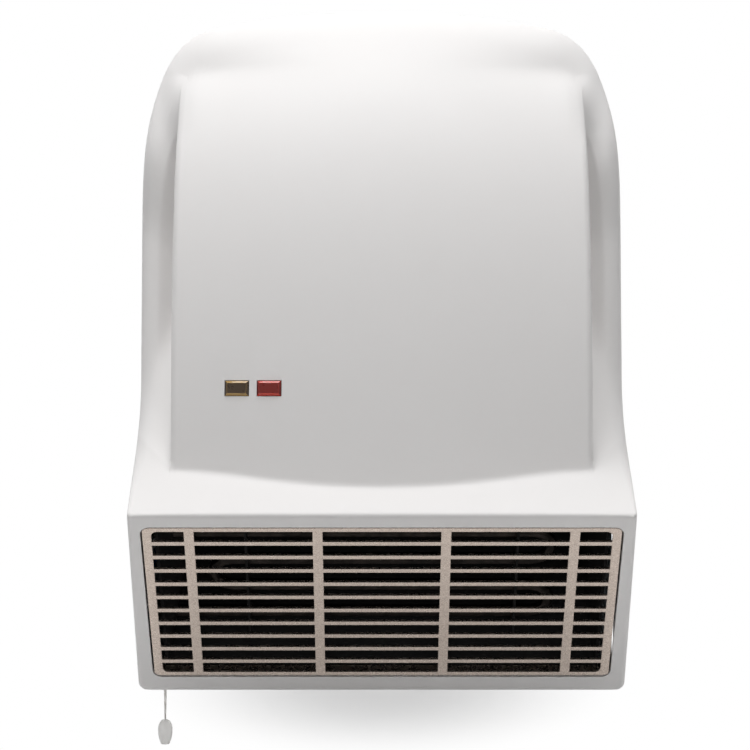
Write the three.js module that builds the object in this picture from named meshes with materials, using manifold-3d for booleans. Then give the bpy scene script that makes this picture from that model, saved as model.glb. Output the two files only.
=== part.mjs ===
// A bathroom wall fan heater with a pull cord, as an assembly of its separate pieces.
// Millimetres, +Z up. The wall is the plane y = 0 and the front faces -Y, so a depth in front of the
// wall is written as d, with y = -d. The origin is the middle of the back plate's wall face.
import * as THREE from "three";
import { mergeVertices } from "three/addons/utils/BufferGeometryUtils.js";
import Module from "manifold-3d";

const wasm = await Module();
wasm.setup();

// ---------------------------------------------------------------- driving dimensions

const CLEARANCE = 0.3; // between pieces that rest on each other

// Outline of the casing on the wall
const HEIGHT = 373;
const HALF_WIDTH = 131.7;
const TOP_RADIUS = 440; // of the shallow arch
const ARCH_HALF = 94.4; // half the arch's width, up to where the corners begin
const CORNER_DROP = 140.8; // from the top down to where the sides turn straight
const CORNER_PULL_TOP = 34.6; // handles of the corner's curve
const CORNER_PULL_SIDE = 67.2;
const BOTTOM_CORNER = 6;
const SIDE_DRAFT = 0.0283; // how far the sides lean in, per millimetre of depth
const WALL = 2.5;

// Front panel, which stands forward of the side channels
const SHOULDER = 23.1; // from the casing's side in to the panel's side
const PANEL_EDGE_RADIUS = 3.5;
const PANEL_FOOT_RADIUS = 3.5;
const PANEL_SIDE_LEAN = 0.3;
const PANEL_BOTTOM_DEPTH = 107; // at the lower corners
const PANEL_BULGE = 14; // how much further the middle stands out
const PANEL_START = 148; // height at which its sides come out of the dome
const PANEL_FADE = 100; // height from which its sides fade upwards into the dome
const FADE_INSIDE = 9; // breadth of the faded sides, within the panel's edge
const FADE_OUTSIDE = 12; // and beyond it

// Side channels
const CHANNEL_DEPTH = 42; // their face's depth where they start to sweep forward
const SHOULDER_SWELL = 8; // how far their upper part swells forward, below the corners
const SCOOP_DEPTH = 7;
const SCOOP_WIDTH = 13;
const SWEEP_POWER = 2.2;

// Hood over the air outlet
const LIP_DEPTH = 138;
const HOOD_HEIGHT = 100.75; // from the underside up to the lip
const LIP_RADIUS = 3;
const OUTLET_SLOPE = 0.898; // depth lost per millimetre down the outlet's face
const SHELF_CENTRE = 13; // from the lip up to where the panel ends, in the middle
const SHELF_CORNER = 22.3; // and at its lower corners
const CREASE_SIDE_SLOPE = 0.8; // climb of the diagonal crease beyond the corners

// Rounding of the casing's rim
const RIM_TOP = 18;
const RIM_SIDE = 9;
const RIM_HOOD = 2.5;
const RIM_WALL = 2; // least straight part of the sides, at the wall

// Outlet grille
const OUTLET_SIDE_BORDER = 9.7;
const OUTLET_TOP_BORDER = 9; // along the slope, from the lip
const OUTLET_BOTTOM_BORDER = 12.7;
const OUTLET_CORNER = 5;
const GRILLE_GAP = 1;
const GRILLE_ROWS = 11;
const GRILLE_WIDE_COLUMNS = 3;
const GRILLE_BAR = 2.5;
const GRILLE_POST = 5;
const GRILLE_SIDE_FRAME = 4.5;
const GRILLE_END_COLUMN = 16.5;
const GRILLE_BAR_DEPTH = 2;
const GRILLE_FRAME_DEPTH = 6;
const GRILLE_RECESS = 0.4;

// Neon lenses
const LENS_WIDTH = 12.3;
const LENS_HEIGHT = 7.6;
const LENS_PROUD = 1;
const LENS_BEVEL = 1.1;
const LENS_LENGTH = 12;
const LENS_WALL = 1;
const LENS_RISE = 63.25; // above the lip
const LENS_INSET = 34.5; // of the amber one's middle, from the panel's left side
const LENS_SPACING = 16.6;
const LAMP_LENGTH = 9;

// Back plate
const PLATE_THICKNESS = 3;
const PLATE_RIB = 9;
const PLATE_RIB_TOP = 60;
const PLATE_RIB_BOTTOM = -150;
const PLATE_RIB_INSET = 33.7; // from the casing's side
const KEYHOLE_X = 85;
const KEYHOLE_Z = 120;
const KEYHOLE_HEAD = 9.5;
const KEYHOLE_SLOT = 5;
const KEYHOLE_LENGTH = 10;
const CABLE_HOLE = 16;
const CABLE_HOLE_X = -60;
const CABLE_HOLE_Z = 128;

// Air inlet slots in the top
const INLET_SLOTS = 7;
const INLET_PITCH = 25;
const INLET_LENGTH = 19;
const INLET_WIDTH = 3.6;
const INLET_DEPTH = 6.5; // of their middle, from the wall

// Cross-flow fan
const FAN_DEPTH = 58;
const FAN_Z = 8;
const FAN_RADIUS = 27;
const FAN_BLADES = 20;
const FAN_BLADE = 0.9;
const FAN_BLADE_WIDTH = 7;
const FAN_BLADE_LEAN = 0.5;
const FAN_LEFT_ROOM = 24.6; // from the panel's left side to the impeller
const FAN_RIGHT_ROOM = 59.6; // from the impeller to the panel's right side
const FAN_DISC = 1.5;
const FAN_GAP = 3; // each side of the impeller
const SHEET = 1.2;
const SHAFT_RADIUS = 2.5;
const SHAFT_OVERHANG = 8;
const SCROLL_START = 3; // running gap of the scroll where it begins, and of the cut-off
const HOUSING_TOP = 44;
const HOUSING_BOTTOM = -24;
const HOUSING_AHEAD = 28; // of the fan's middle

// Motor
const MOTOR_OFFSET = 13; // from the impeller to the stack
const STACK_LENGTH = 18;
const STACK_WIDTH = 46;
const STACK_HEIGHT = 58;
const STACK_DROP = 18; // of the stack's lower edge below the shaft
const ROTOR_RADIUS = 11;
const ROTOR_AIR_GAP = 0.6;
const COIL_HALF_WIDTH = 15;
const COIL_HEIGHT = 11.7; // above the stack
const COIL_OVERHANG = 6;
const BRACKET_THICKNESS = 2;
const BRACKET_HEIGHT = 15;
const MOTOR_SCREW_RADIUS = 2;

// Outlet duct, as three rectangular sections: its top, its waist and its mouth behind the grille
const DUCT_WALL = 1.2;
const DUCT_REAR_BEHIND = 34; // the fan's middle
const DUCT_WAIST_RISE = 18.75; // above the lip
const DUCT_WAIST_REAR = 38;
const DUCT_WAIST_FRONT = 98;
const DUCT_WAIST_LEFT_ROOM = 12.6; // from the panel's left side
const DUCT_WAIST_RIGHT_ROOM = 8.6;
const DUCT_MOUTH_BORDER = 2; // how far inside the outlet the mouth lies

// Heating element
const ELEMENT_RADIUS = 3.2;
const ELEMENT_PASSES = 4;
const ELEMENT_PITCH = 20;
const ELEMENT_BEHIND = 22; // behind the outlet's face
const ELEMENT_FIRST = 34; // along the slope
const ELEMENT_SIDE_ROOM = 34; // from the outlet's side to the bends
const ELEMENT_END_ROOM = 3; // and to its ends on the left
const ELEMENT_BRACKET_ROOM = 52; // from the outlet's side to its brackets
const CUTOUT_RADIUS = 8;

// Pull switch and cord
const CORD_INSET = 13.4; // from the casing's left side
const CORD_DEPTH = 24;
const CORD_RADIUS = 0.75;
const CORD_BELOW = 18.6; // from the casing's underside to the toggle
const TOGGLE_RADIUS = 4;
const TOGGLE_HEIGHT = 13.3;
const BUSH_FLANGE = 4.2;
const BUSH_BORE = 1.6;
const BUSH_RADIUS = 2.9;
const PULL_TRAVEL = 8;
const PULL_SPARE = 2.2; // left between the plunger and the bush at the end of a pull
const SWITCH_HALF_WIDTH = 9;
const SWITCH_HALF_DEPTH = 11;
const SWITCH_HEIGHT = 18; // without the travel
const SWITCH_WALL = 1.6;
const PLUNGER_RADIUS = 3;
const SPRING_RADIUS = 5.2;
const SPRING_WIRE = 0.5;
const SPRING_TURNS = 5;

// Terminal block, cable clamp and inner leads
const TERMINAL_X = -60;
const TERMINAL_Z = 84;
const TERMINAL_WAYS = 3;
const TERMINAL_PITCH = 10;
const TERMINAL_HEIGHT = 18;
const TERMINAL_DEPTH = 14;
const CLAMP_Z = 106;
const CLAMP_LENGTH = 30;
const CLAMP_BAR = 8;
const LEAD_RADIUS = 1.1;
const LEAD_GAP = 0.8; // between a lead's end and its terminal

const PANEL_HALF = HALF_WIDTH - SHOULDER;
const OUTLET_HALF_WIDTH = HALF_WIDTH - OUTLET_SIDE_BORDER;
const PLATE_RIB_X = HALF_WIDTH - PLATE_RIB_INSET;
const CORD_X = CORD_INSET - HALF_WIDTH;
const LENS_AMBER_X = LENS_INSET - PANEL_HALF;
const LENS_RED_X = LENS_AMBER_X + LENS_SPACING;
const FAN_LEFT = FAN_LEFT_ROOM - PANEL_HALF;
const FAN_RIGHT = PANEL_HALF - FAN_RIGHT_ROOM;
const MOTOR_START = FAN_RIGHT + MOTOR_OFFSET;
const HOUSING_FRONT = FAN_DEPTH + HOUSING_AHEAD;
const DUCT_REAR = FAN_DEPTH - DUCT_REAR_BEHIND;

// ---------------------------------------------------------------- materials

function paint(color, roughness, metalness) {
  return new THREE.MeshStandardMaterial({ color, roughness, metalness });
}

const casingPlastic = paint(0xf3f2f0, 0.28, 0);
const satinMetal = paint(0xbbaea3, 0.35, 0.85);
const galvanised = paint(0xaeb1b3, 0.45, 0.8);
const darkSteel = paint(0x55585c, 0.4, 0.9);
const blackPlastic = paint(0x242426, 0.55, 0);
const whitePlastic = paint(0xe6e5e2, 0.4, 0);
const amber = paint(0xa8782a, 0.15, 0);
const red = paint(0xa52e20, 0.15, 0);
const glass = paint(0xd8d0c4, 0.05, 0);
const copper = paint(0xa0522d, 0.4, 0.6);
const brass = paint(0xb89a4e, 0.35, 0.9);
const cordNylon = paint(0xeceae6, 0.7, 0);
const rubber = paint(0x2b2b2d, 0.8, 0);
const leadBrown = paint(0x6b3f24, 0.5, 0);
const leadBlue = paint(0x2c5f9e, 0.5, 0);
const leadWhite = paint(0xdddcd6, 0.5, 0);

// ---------------------------------------------------------------- small tools

const heater = new THREE.Group();

function add(name, geometry, material) {
  const mesh = new THREE.Mesh(geometry, material);
  mesh.name = name;
  heater.add(mesh);
}

const clamp01 = (t) => Math.min(Math.max(t, 0), 1);
const mix = (a, b, t) => a + (b - a) * t;

function smoothStep(from, to, value) {
  const t = clamp01((value - from) / (to - from));
  return t * t * (3 - 2 * t);
}

// The lesser of two values, with a round of size k where they cross.
function softMin(a, b, k) {
  const h = Math.max(k - Math.abs(a - b), 0) / k;
  return Math.min(a, b) - (h * h * k) / 4;
}

const softMax = (a, b, k) => -softMin(-a, -b, k);

// How far a quarter circle of radius 1 has dropped at the share t of its width.
const quarterDrop = (t) => 1 - Math.sqrt(1 - clamp01(t) ** 2);

function toSolid(geometry) {
  const bare = geometry.clone();
  bare.deleteAttribute("normal");
  bare.deleteAttribute("uv");
  const merged = mergeVertices(bare, 1e-4);
  const triangles = merged.index.array;
  const kept = [];
  for (let i = 0; i < triangles.length; i += 3) {
    const [a, b, c] = [triangles[i], triangles[i + 1], triangles[i + 2]];
    if (a !== b && b !== c && c !== a) kept.push(a, b, c);
  }
  const vertProperties = new Float32Array(merged.attributes.position.array);
  return new wasm.Manifold(new wasm.Mesh({ numProp: 3, vertProperties, triVerts: new Uint32Array(kept) }));
}

function toGeometry(solid) {
  const mesh = solid.getMesh();
  const geometry = new THREE.BufferGeometry();
  geometry.setAttribute("position", new THREE.BufferAttribute(new Float32Array(mesh.vertProperties), 3));
  geometry.setIndex(Array.from(mesh.triVerts));
  const faceted = geometry.toNonIndexed();
  faceted.computeVertexNormals();
  return faceted;
}

function cut(geometry, ...tools) {
  let solid = toSolid(geometry);
  for (const tool of tools) solid = solid.subtract(toSolid(tool));
  return toGeometry(solid);
}

function join(...geometries) {
  let solid = toSolid(geometries[0]);
  for (const other of geometries.slice(1)) solid = solid.add(toSolid(other));
  return toGeometry(solid);
}

const shared = (a, b) => toGeometry(toSolid(a).intersect(toSolid(b)));

function box(x0, x1, d0, d1, z0, z1) {
  const geometry = new THREE.BoxGeometry(x1 - x0, d1 - d0, z1 - z0);
  return geometry.translate((x0 + x1) / 2, -(d0 + d1) / 2, (z0 + z1) / 2);
}

// Frames whose third axis is the direction that a profile is drawn out in.
const ALONG_DEPTH = new THREE.Matrix4().makeBasis(vec(1, 0, 0), vec(0, 0, 1), vec(0, -1, 0));
const ALONG_MINUS_X = new THREE.Matrix4().makeBasis(vec(0, -1, 0), vec(0, 0, 1), vec(-1, 0, 0));

function vec(x, y, z) {
  return new THREE.Vector3(x, y, z);
}

const at = (x, d, z) => vec(x, -d, z);

// A profile in (x, z), drawn out from depth d0 to depth d1.
function depthProfile(shape, d0, d1, curveSegments = 6) {
  const geometry = new THREE.ExtrudeGeometry(shape, { depth: d1 - d0, bevelEnabled: false, curveSegments });
  return geometry.applyMatrix4(ALONG_DEPTH).translate(0, -d0, 0);
}

// A profile in (d, z), drawn out from x0 to x1.
function sideProfile(shape, x0, x1, curveSegments = 6) {
  const geometry = new THREE.ExtrudeGeometry(shape, { depth: x1 - x0, bevelEnabled: false, curveSegments });
  return geometry.applyMatrix4(ALONG_MINUS_X).translate(x1, 0, 0);
}

function shapeOf(points) {
  return new THREE.Shape(points.map(([a, b]) => new THREE.Vector2(a, b)));
}

function roundedRectangle(width, height, radius) {
  const [w, h] = [width / 2, height / 2];
  const shape = new THREE.Shape();
  shape.moveTo(-w + radius, -h);
  shape.lineTo(w - radius, -h);
  shape.absarc(w - radius, -h + radius, radius, -Math.PI / 2, 0);
  shape.lineTo(w, h - radius);
  shape.absarc(w - radius, h - radius, radius, 0, Math.PI / 2);
  shape.lineTo(-w + radius, h);
  shape.absarc(-w + radius, h - radius, radius, Math.PI / 2, Math.PI);
  shape.lineTo(-w, -h + radius);
  shape.absarc(-w + radius, -h + radius, radius, Math.PI, 1.5 * Math.PI);
  return shape;
}

function cylinderX(radius, x0, x1, d, z, sides = 20) {
  const geometry = new THREE.CylinderGeometry(radius, radius, x1 - x0, sides);
  return geometry.rotateZ(Math.PI / 2).translate((x0 + x1) / 2, -d, z);
}

function cylinderDepth(radius, d0, d1, x, z, sides = 20) {
  const geometry = new THREE.CylinderGeometry(radius, radius, d1 - d0, sides);
  return geometry.translate(x, -(d0 + d1) / 2, z);
}

function cylinderZ(radius, z0, z1, x, d, sides = 16) {
  const geometry = new THREE.CylinderGeometry(radius, radius, z1 - z0, sides);
  return geometry.rotateX(Math.PI / 2).translate(x, -d, (z0 + z1) / 2);
}

// A round rod along a curve.
function rod(curve, radius, steps, sides) {
  const section = new THREE.Shape();
  section.absarc(0, 0, radius, 0, 2 * Math.PI);
  return new THREE.ExtrudeGeometry(section, { steps, extrudePath: curve, curveSegments: sides / 2 });
}

// ---------------------------------------------------------------- the casing's shape

const TOP = HEIGHT / 2;
const BOTTOM = -HEIGHT / 2;
const LIP_HEIGHT = BOTTOM + HOOD_HEIGHT;
const CREASE_CENTRE = LIP_HEIGHT + SHELF_CENTRE;
const CREASE_CORNER = LIP_HEIGHT + SHELF_CORNER;
const LENS_Z = LIP_HEIGHT + LENS_RISE;

const profileCurve = (...points) => {
  const curve = new THREE.CubicBezierCurve(...points.map(([z, d]) => new THREE.Vector2(z, d)));
  return curve.getPoints(60);
};

// Depth of a profile curve at a height; the curves run downwards.
function depthOn(curve, z) {
  let i = 1;
  while (i < curve.length - 1 && curve[i].x > z) i += 1;
  const [a, b] = [curve[i - 1], curve[i]];
  return mix(a.y, b.y, (z - a.x) / (b.x - a.x));
}

// Profiles from the side: the dome's middle, the panel's edge and the channels' face.
const centreCurve = profileCurve(
  [TOP, 20],
  [140, 95],
  [50, PANEL_BOTTOM_DEPTH + PANEL_BULGE - 2],
  [CREASE_CENTRE, PANEL_BOTTOM_DEPTH + PANEL_BULGE],
);
const edgeCurve = profileCurve(
  [PANEL_START, 24],
  [128, 84],
  [30, PANEL_BOTTOM_DEPTH],
  [CREASE_CORNER, PANEL_BOTTOM_DEPTH],
);
const channelCurve = profileCurve([TOP, 14], [148, 34], [60, 27], [-23, CHANNEL_DEPTH]);
for (const point of channelCurve) {
  point.y += SHOULDER_SWELL * smoothStep(55, 105, point.x) * smoothStep(175, 120, point.x);
}

const EDGE_BLEND = 10;
const CREASE_BLEND = 2;

function edgeDepth(z) {
  const channel = depthOn(channelCurve, z);
  return z > PANEL_START + EDGE_BLEND ? channel : softMax(channel, depthOn(edgeCurve, z), EDGE_BLEND);
}

function panelDepth(a, z) {
  const share = (a / PANEL_HALF) ** 2;
  return mix(depthOn(centreCurve, z), edgeDepth(z), share);
}

// The sloping shelf between the panel and the hood's lip.
function shelfDepth(a, z) {
  const rise = z - LIP_HEIGHT;
  const slope = 1.45 + 0.77 * (a / 129) ** 6;
  return LIP_DEPTH - slope * rise + 0.0108 * rise * rise;
}

const outletDepth = (z) => LIP_DEPTH - OUTLET_SLOPE * (LIP_HEIGHT - z);

// Height of the crease under the panel and of the diagonal crease beyond its corners.
function creaseHeight(a) {
  if (a <= PANEL_HALF) return mix(CREASE_CENTRE, CREASE_CORNER, (a / PANEL_HALF) ** 2);
  return CREASE_CORNER + CREASE_SIDE_SLOPE * (a - PANEL_HALF);
}

// The recess beside the panel: a scoop that opens below the dome and widens towards the hood.
function scoopDepth(a, z) {
  const opening = Math.sqrt(Math.max(1 - (Math.max(z - 40, 0) / 75) ** 2, 0));
  const width = SCOOP_WIDTH * opening + 0.01 * Math.min(z, 0) ** 2;
  const t = width > 0.5 ? clamp01((a - PANEL_HALF) / width) : 1;
  return SCOOP_DEPTH * opening * smoothStep(-55, 20, z) * (1 - t * t) ** 1.5;
}

function channelDepth(a, z) {
  const out = a - PANEL_HALF;
  const crease = creaseHeight(a);
  if (z <= crease) return shelfDepth(a, z);
  const lean = (1.3 / PANEL_HALF) * (depthOn(centreCurve, z) - depthOn(channelCurve, z));
  const face = depthOn(channelCurve, z) - smoothStep(108, 150, z) * lean * out;
  const sweepTop = 30 - 2 * out;
  const left = clamp01((sweepTop - z) / (sweepTop - crease));
  const start = shelfDepth(a, crease) - depthOn(channelCurve, crease);
  return face - scoopDepth(a, z) + start * left ** SWEEP_POWER;
}

// Depth of the casing's front at a point, before its rim is rounded. A wall above 0 gives the
// matching inner face, one wall behind it.
function frontDepth(x, z, wall = 0) {
  const half = PANEL_HALF - wall;
  const a = Math.abs(x);
  const rounded = wall === 0;
  const behind = (face) => {
    const slope = face(z + 1) - face(z - 1);
    return face(z) - wall * Math.min(Math.hypot(1, slope / 2), 2.4);
  };
  const foot = half + PANEL_SIDE_LEAN;
  const outside = behind((h) => channelDepth(Math.max(a, foot), h));
  const inside = behind((h) => panelDepth(Math.min(a, half), h));
  const edgeTop = behind((h) => panelDepth(half, h));
  const edgeFoot = behind((h) => channelDepth(foot, h));
  const round = rounded ? Math.max(edgeTop - edgeFoot, 0) / 2 : 0;
  let body;
  if (a <= half + PANEL_SIDE_LEAN / 2) {
    const t = (a - half + PANEL_EDGE_RADIUS) / PANEL_EDGE_RADIUS;
    body = inside - Math.min(PANEL_EDGE_RADIUS, round) * quarterDrop(t);
  } else {
    const t = 1 - (a - foot) / PANEL_FOOT_RADIUS;
    body = outside + Math.min(PANEL_FOOT_RADIUS, round) * quarterDrop(t);
  }
  const faded = mix(inside, outside, smoothStep(half - FADE_INSIDE, foot + FADE_OUTSIDE, a));
  body = mix(body, faded, smoothStep(PANEL_FADE, PANEL_START, z));
  const shelf = behind((h) => shelfDepth(a, h));
  const outlet = outletDepth(z) - wall * Math.hypot(1, OUTLET_SLOPE);
  const above = z > creaseHeight(a) + 12 ? body : softMax(body, shelf, CREASE_BLEND);
  return softMin(above, outlet, LIP_RADIUS);
}

// The outline above the straight sides: share 0 to 0.5 goes round the corner, 0.5 to 1 along the arch.
function upperOutline(share) {
  const archStart = Math.asin(ARCH_HALF / TOP_RADIUS);
  if (share >= 0.5) {
    const angle = archStart * 2 * (1 - share);
    const normal = new THREE.Vector2(-Math.sin(angle), -Math.cos(angle));
    const point = new THREE.Vector2(0, TOP - TOP_RADIUS).addScaledVector(normal, -TOP_RADIUS);
    return { point, normal };
  }
  const archEnd = new THREE.Vector2(ARCH_HALF, TOP - TOP_RADIUS * (1 - Math.cos(archStart)));
  const sideEnd = new THREE.Vector2(HALF_WIDTH, TOP - CORNER_DROP);
  const corner = new THREE.CubicBezierCurve(
    sideEnd,
    new THREE.Vector2(sideEnd.x, sideEnd.y + CORNER_PULL_SIDE),
    new THREE.Vector2(
      archEnd.x + CORNER_PULL_TOP * Math.cos(archStart),
      archEnd.y - CORNER_PULL_TOP * Math.sin(archStart),
    ),
    archEnd,
  );
  const along = corner.getTangent(share * 2);
  return { point: corner.getPoint(share * 2), normal: new THREE.Vector2(-along.y, along.x) };
}

function rimRadius(point) {
  if (point.y <= BOTTOM + 1) return RIM_HOOD;
  const side = mix(RIM_HOOD, RIM_SIDE, smoothStep(LIP_HEIGHT + 5, LIP_HEIGHT + 40, point.y));
  return mix(side, RIM_TOP, smoothStep(100, TOP, point.y));
}

// One station of the rim: its points from the wall to the front face, each [x, d, z].
function rimStation(outline, inset, backDepth, arcSteps) {
  const { point, normal } = outline;
  const place = (sink) => point.clone().addScaledVector(normal, inset + sink);
  const edge = place(0);
  const room = frontDepth(edge.x, edge.y, inset) - RIM_WALL;
  const radius = Math.max(Math.min(rimRadius(point), room) - inset, 1.5);
  const reach = place(radius + 1);
  const wallTop = Math.max(frontDepth(reach.x, reach.y, inset) - radius, 1);
  const points = [];
  const back = place(SIDE_DRAFT * backDepth);
  points.push([back.x, backDepth, back.y]);
  for (let k = 0; k <= arcSteps; k += 1) {
    const angle = (k / arcSteps) * (Math.PI / 2);
    const p = place(SIDE_DRAFT * wallTop + radius * (1 - Math.cos(angle)));
    points.push([p.x, frontDepth(p.x, p.y, inset) - radius * (1 - Math.sin(angle)), p.y]);
  }
  return points;
}

const last = (list) => list[list.length - 1];

// The share of the upper outline whose rim ends at the column x on the front.
function shareForColumn(x, inset, arcSteps) {
  let [low, high] = [0, 1];
  for (let k = 0; k < 30; k += 1) {
    const middle = (low + high) / 2;
    const end = last(rimStation(upperOutline(middle), inset, 0, arcSteps));
    if (end[0] > x) low = middle;
    else high = middle;
  }
  return (low + high) / 2;
}

// The solid bounded by the casing's front, its rim and a flat back, for the outer or the inner face.
function casingBlock({ inset, backDepth, columns, strips, sideHeights, cornerSteps, arcSteps }) {
  const station = (outline) => rimStation(outline, inset, backDepth, arcSteps);
  const sideX = HALF_WIDTH;
  const cornerX = sideX - BOTTOM_CORNER;
  const outer = last(columns);
  const bottomXs = [...columns, ...strips.map((f) => mix(outer, cornerX - RIM_HOOD, f))];

  // rim stations of the right half
  const bottom = bottomXs.map((x) =>
    station({ point: new THREE.Vector2(x, BOTTOM), normal: new THREE.Vector2(0, 1) }),
  );
  const side = [];
  for (let k = 1; k <= 3; k += 1) {
    const angle = (k / 3) * (Math.PI / 2);
    const normal = new THREE.Vector2(-Math.sin(angle), Math.cos(angle));
    const centre = new THREE.Vector2(cornerX, BOTTOM + BOTTOM_CORNER);
    side.push(station({ point: centre.addScaledVector(normal, -BOTTOM_CORNER), normal }));
  }
  for (const z of sideHeights) {
    side.push(station({ point: new THREE.Vector2(sideX, z), normal: new THREE.Vector2(-1, 0) }));
  }
  const cornerShare = shareForColumn(outer, inset, arcSteps);
  for (let k = 0; k <= cornerSteps; k += 1) {
    side.push(station(upperOutline((cornerShare * k) / cornerSteps)));
  }
  const topShare = (x) => (x > 0 ? shareForColumn(x, inset, arcSteps) : 1);
  const top = columns.slice(0, -1).map((x) => station(upperOutline(topShare(x))));
  top.push(last(side));

  // rows of the front face, from the bottom to the top
  const levelRow = 95;
  const rowEnds = [last(last(bottom)), ...side.map(last)];
  const cornerEnd = last(rowEnds);
  const rowPoint = (end, x, column) => {
    const [sideEndX, , height] = end;
    if (height > levelRow && column < columns.length) {
      const share = (height - levelRow) / (cornerEnd[2] - levelRow);
      return mix(levelRow, last(top[column])[2], share);
    }
    const rising = clamp01((height - LIP_HEIGHT) / (creaseHeight(sideEndX) - LIP_HEIGHT));
    const falling = clamp01((20 - height) / (20 - creaseHeight(sideEndX)));
    return height + Math.min(rising, falling) * (creaseHeight(x) - creaseHeight(sideEndX));
  };
  const rows = rowEnds.map((end, row) => {
    if (row === 0) return bottom.map(last);
    if (row === rowEnds.length - 1) return [...top.map(last), ...strips.map(() => last(last(top)))];
    const fixed = columns.map((x, column) => {
      const z = rowPoint(end, x, column);
      return [x, frontDepth(x, z, inset), z];
    });
    const strip = strips.slice(0, -1).map((f) => {
      const x = mix(outer, end[0], f);
      const z = rowPoint(end, x, columns.length);
      return [x, frontDepth(x, z, inset), z];
    });
    return [...fixed, ...strip, end];
  });

  // vertices: the whole front, then the rim's rings, then the middle of the back
  const positions = [];
  const indices = [];
  const vertex = ([x, d, z]) => positions.push(x, -d, z) / 3 - 1;
  const mirrored = ([x, d, z]) => [-x, d, z];
  const quad = (a, b, c, e) => indices.push(a, b, c, a, c, e);
  const width = rows[0].length;
  const grid = rows.map((row) => {
    const right = row.map(vertex);
    const left = row.map((p, i) => (i === 0 ? right[0] : vertex(mirrored(p))));
    return [...left.slice(1).reverse(), ...right];
  });
  for (let j = 0; j < grid.length - 1; j += 1) {
    const [low, high] = [grid[j], grid[j + 1]];
    for (let i = 0; i < 2 * width - 2; i += 1) quad(low[i], low[i + 1], high[i + 1], high[i]);
  }
  const rightHalf = [...bottom, ...side, ...top.slice(1, -1).reverse(), top[0]];
  const leftHalf = rightHalf
    .slice(1, -1)
    .map((s) => s.map(mirrored))
    .reverse();
  const rings = [...rightHalf, ...leftHalf].map((s) => s.map(vertex));
  const middle = vertex([0, backDepth, 0]);
  rings.forEach((ring, k) => {
    const next = rings[(k + 1) % rings.length];
    for (let level = 0; level < ring.length - 1; level += 1) {
      quad(ring[level], next[level], next[level + 1], ring[level + 1]);
    }
    indices.push(next[0], ring[0], middle);
  });

  const geometry = new THREE.BufferGeometry();
  geometry.setAttribute("position", new THREE.Float32BufferAttribute(positions, 3));
  geometry.setIndex(indices);
  return toGeometry(toSolid(geometry));
}

const STRAIGHT_TOP = TOP - CORNER_DROP; // of the sides
const LOWER_ROW = LIP_HEIGHT - 50;
const aboveLip = (...rises) => rises.map((rise) => LIP_HEIGHT + rise);
const upTheSide = (...shares) => shares.map((share) => mix(LIP_HEIGHT + 39, STRAIGHT_TOP, share));
const outerBlock = casingBlock({
  inset: 0,
  backDepth: 0,
  columns: [
    ...[0, 0.26, 0.5, 0.68, 0.8, 0.88, 0.93].map((share) => share * PANEL_HALF),
    PANEL_HALF - PANEL_EDGE_RADIUS,
    PANEL_HALF - 1.2,
    PANEL_HALF - 0.3,
    PANEL_HALF,
    PANEL_HALF + PANEL_SIDE_LEAN,
    PANEL_HALF + PANEL_SIDE_LEAN + 0.9,
    PANEL_HALF + PANEL_SIDE_LEAN + PANEL_FOOT_RADIUS,
  ],
  strips: [0.35, 0.7, 1],
  sideHeights: [
    LOWER_ROW,
    ...aboveLip(-4, -1.6, 0, 1.6, 4, 15, 25, 33, 36, 39),
    ...upTheSide(0.09, 0.2, 0.36, 0.56, 0.77),
  ],
  cornerSteps: 12,
  arcSteps: 3,
});

const innerBlock = casingBlock({
  inset: WALL,
  backDepth: -1,
  columns: [
    ...[0, 0.34, 0.6, 0.79, 0.87, 0.92, 0.96, 1].map((share) => share * (PANEL_HALF - WALL)),
    PANEL_HALF - WALL + PANEL_SIDE_LEAN,
    PANEL_HALF + 1,
  ],
  strips: [0.5, 1],
  sideHeights: [
    LOWER_ROW,
    ...aboveLip(-2, 2, 19, 28, 32, 36),
    ...upTheSide(0.09, 0.2, 0.34, 0.5, 0.64, 0.82),
  ],
  cornerSteps: 14,
  arcSteps: 2,
});

// ---------------------------------------------------------------- front casing and grille

const OUTLET_RUN = Math.hypot(1, OUTLET_SLOPE); // slope length per millimetre of height
const OUTLET_LENGTH = (LIP_HEIGHT - BOTTOM) * OUTLET_RUN;
const OUTLET_START = OUTLET_TOP_BORDER;
const OUTLET_END = OUTLET_LENGTH - OUTLET_BOTTOM_BORDER;

// The outlet's own frame: across, up its slope, and straight out of its face.
const OUTLET_FRAME = new THREE.Matrix4()
  .makeBasis(
    vec(1, 0, 0),
    vec(0, -OUTLET_SLOPE, 1).normalize(),
    vec(0, -1, -OUTLET_SLOPE).normalize(),
  )
  .setPosition(at(0, LIP_DEPTH, LIP_HEIGHT));

// A point at x, the length s down the slope and the height n out of the face.
const onOutlet = (x, s, n) => vec(x, -s, n).applyMatrix4(OUTLET_FRAME);

function outletBox(x0, x1, s0, s1, n0, n1) {
  const geometry = new THREE.BoxGeometry(x1 - x0, s1 - s0, n1 - n0);
  geometry.translate((x0 + x1) / 2, -(s0 + s1) / 2, (n0 + n1) / 2);
  return geometry.applyMatrix4(OUTLET_FRAME);
}

function outletProfile(shape, n0, n1, curveSegments = 4) {
  const geometry = new THREE.ExtrudeGeometry(shape, { depth: n1 - n0, bevelEnabled: false, curveSegments });
  geometry.translate(0, -(OUTLET_START + OUTLET_END) / 2, n0);
  return geometry.applyMatrix4(OUTLET_FRAME);
}

// A place on the panel's face: moves a geometry that faces -Y there and turns it square to the face.
function panelPlace(x, z) {
  const slopeX = (frontDepth(x + 1, z) - frontDepth(x - 1, z)) / 2;
  const slopeZ = (frontDepth(x, z + 1) - frontDepth(x, z - 1)) / 2;
  const across = vec(1, -slopeX, 0).normalize();
  const inward = vec(slopeX, 1, slopeZ).normalize();
  const up = across.clone().cross(inward);
  across.crossVectors(inward, up);
  return new THREE.Matrix4().makeBasis(across, inward, up).setPosition(at(x, frontDepth(x, z), z));
}

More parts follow.
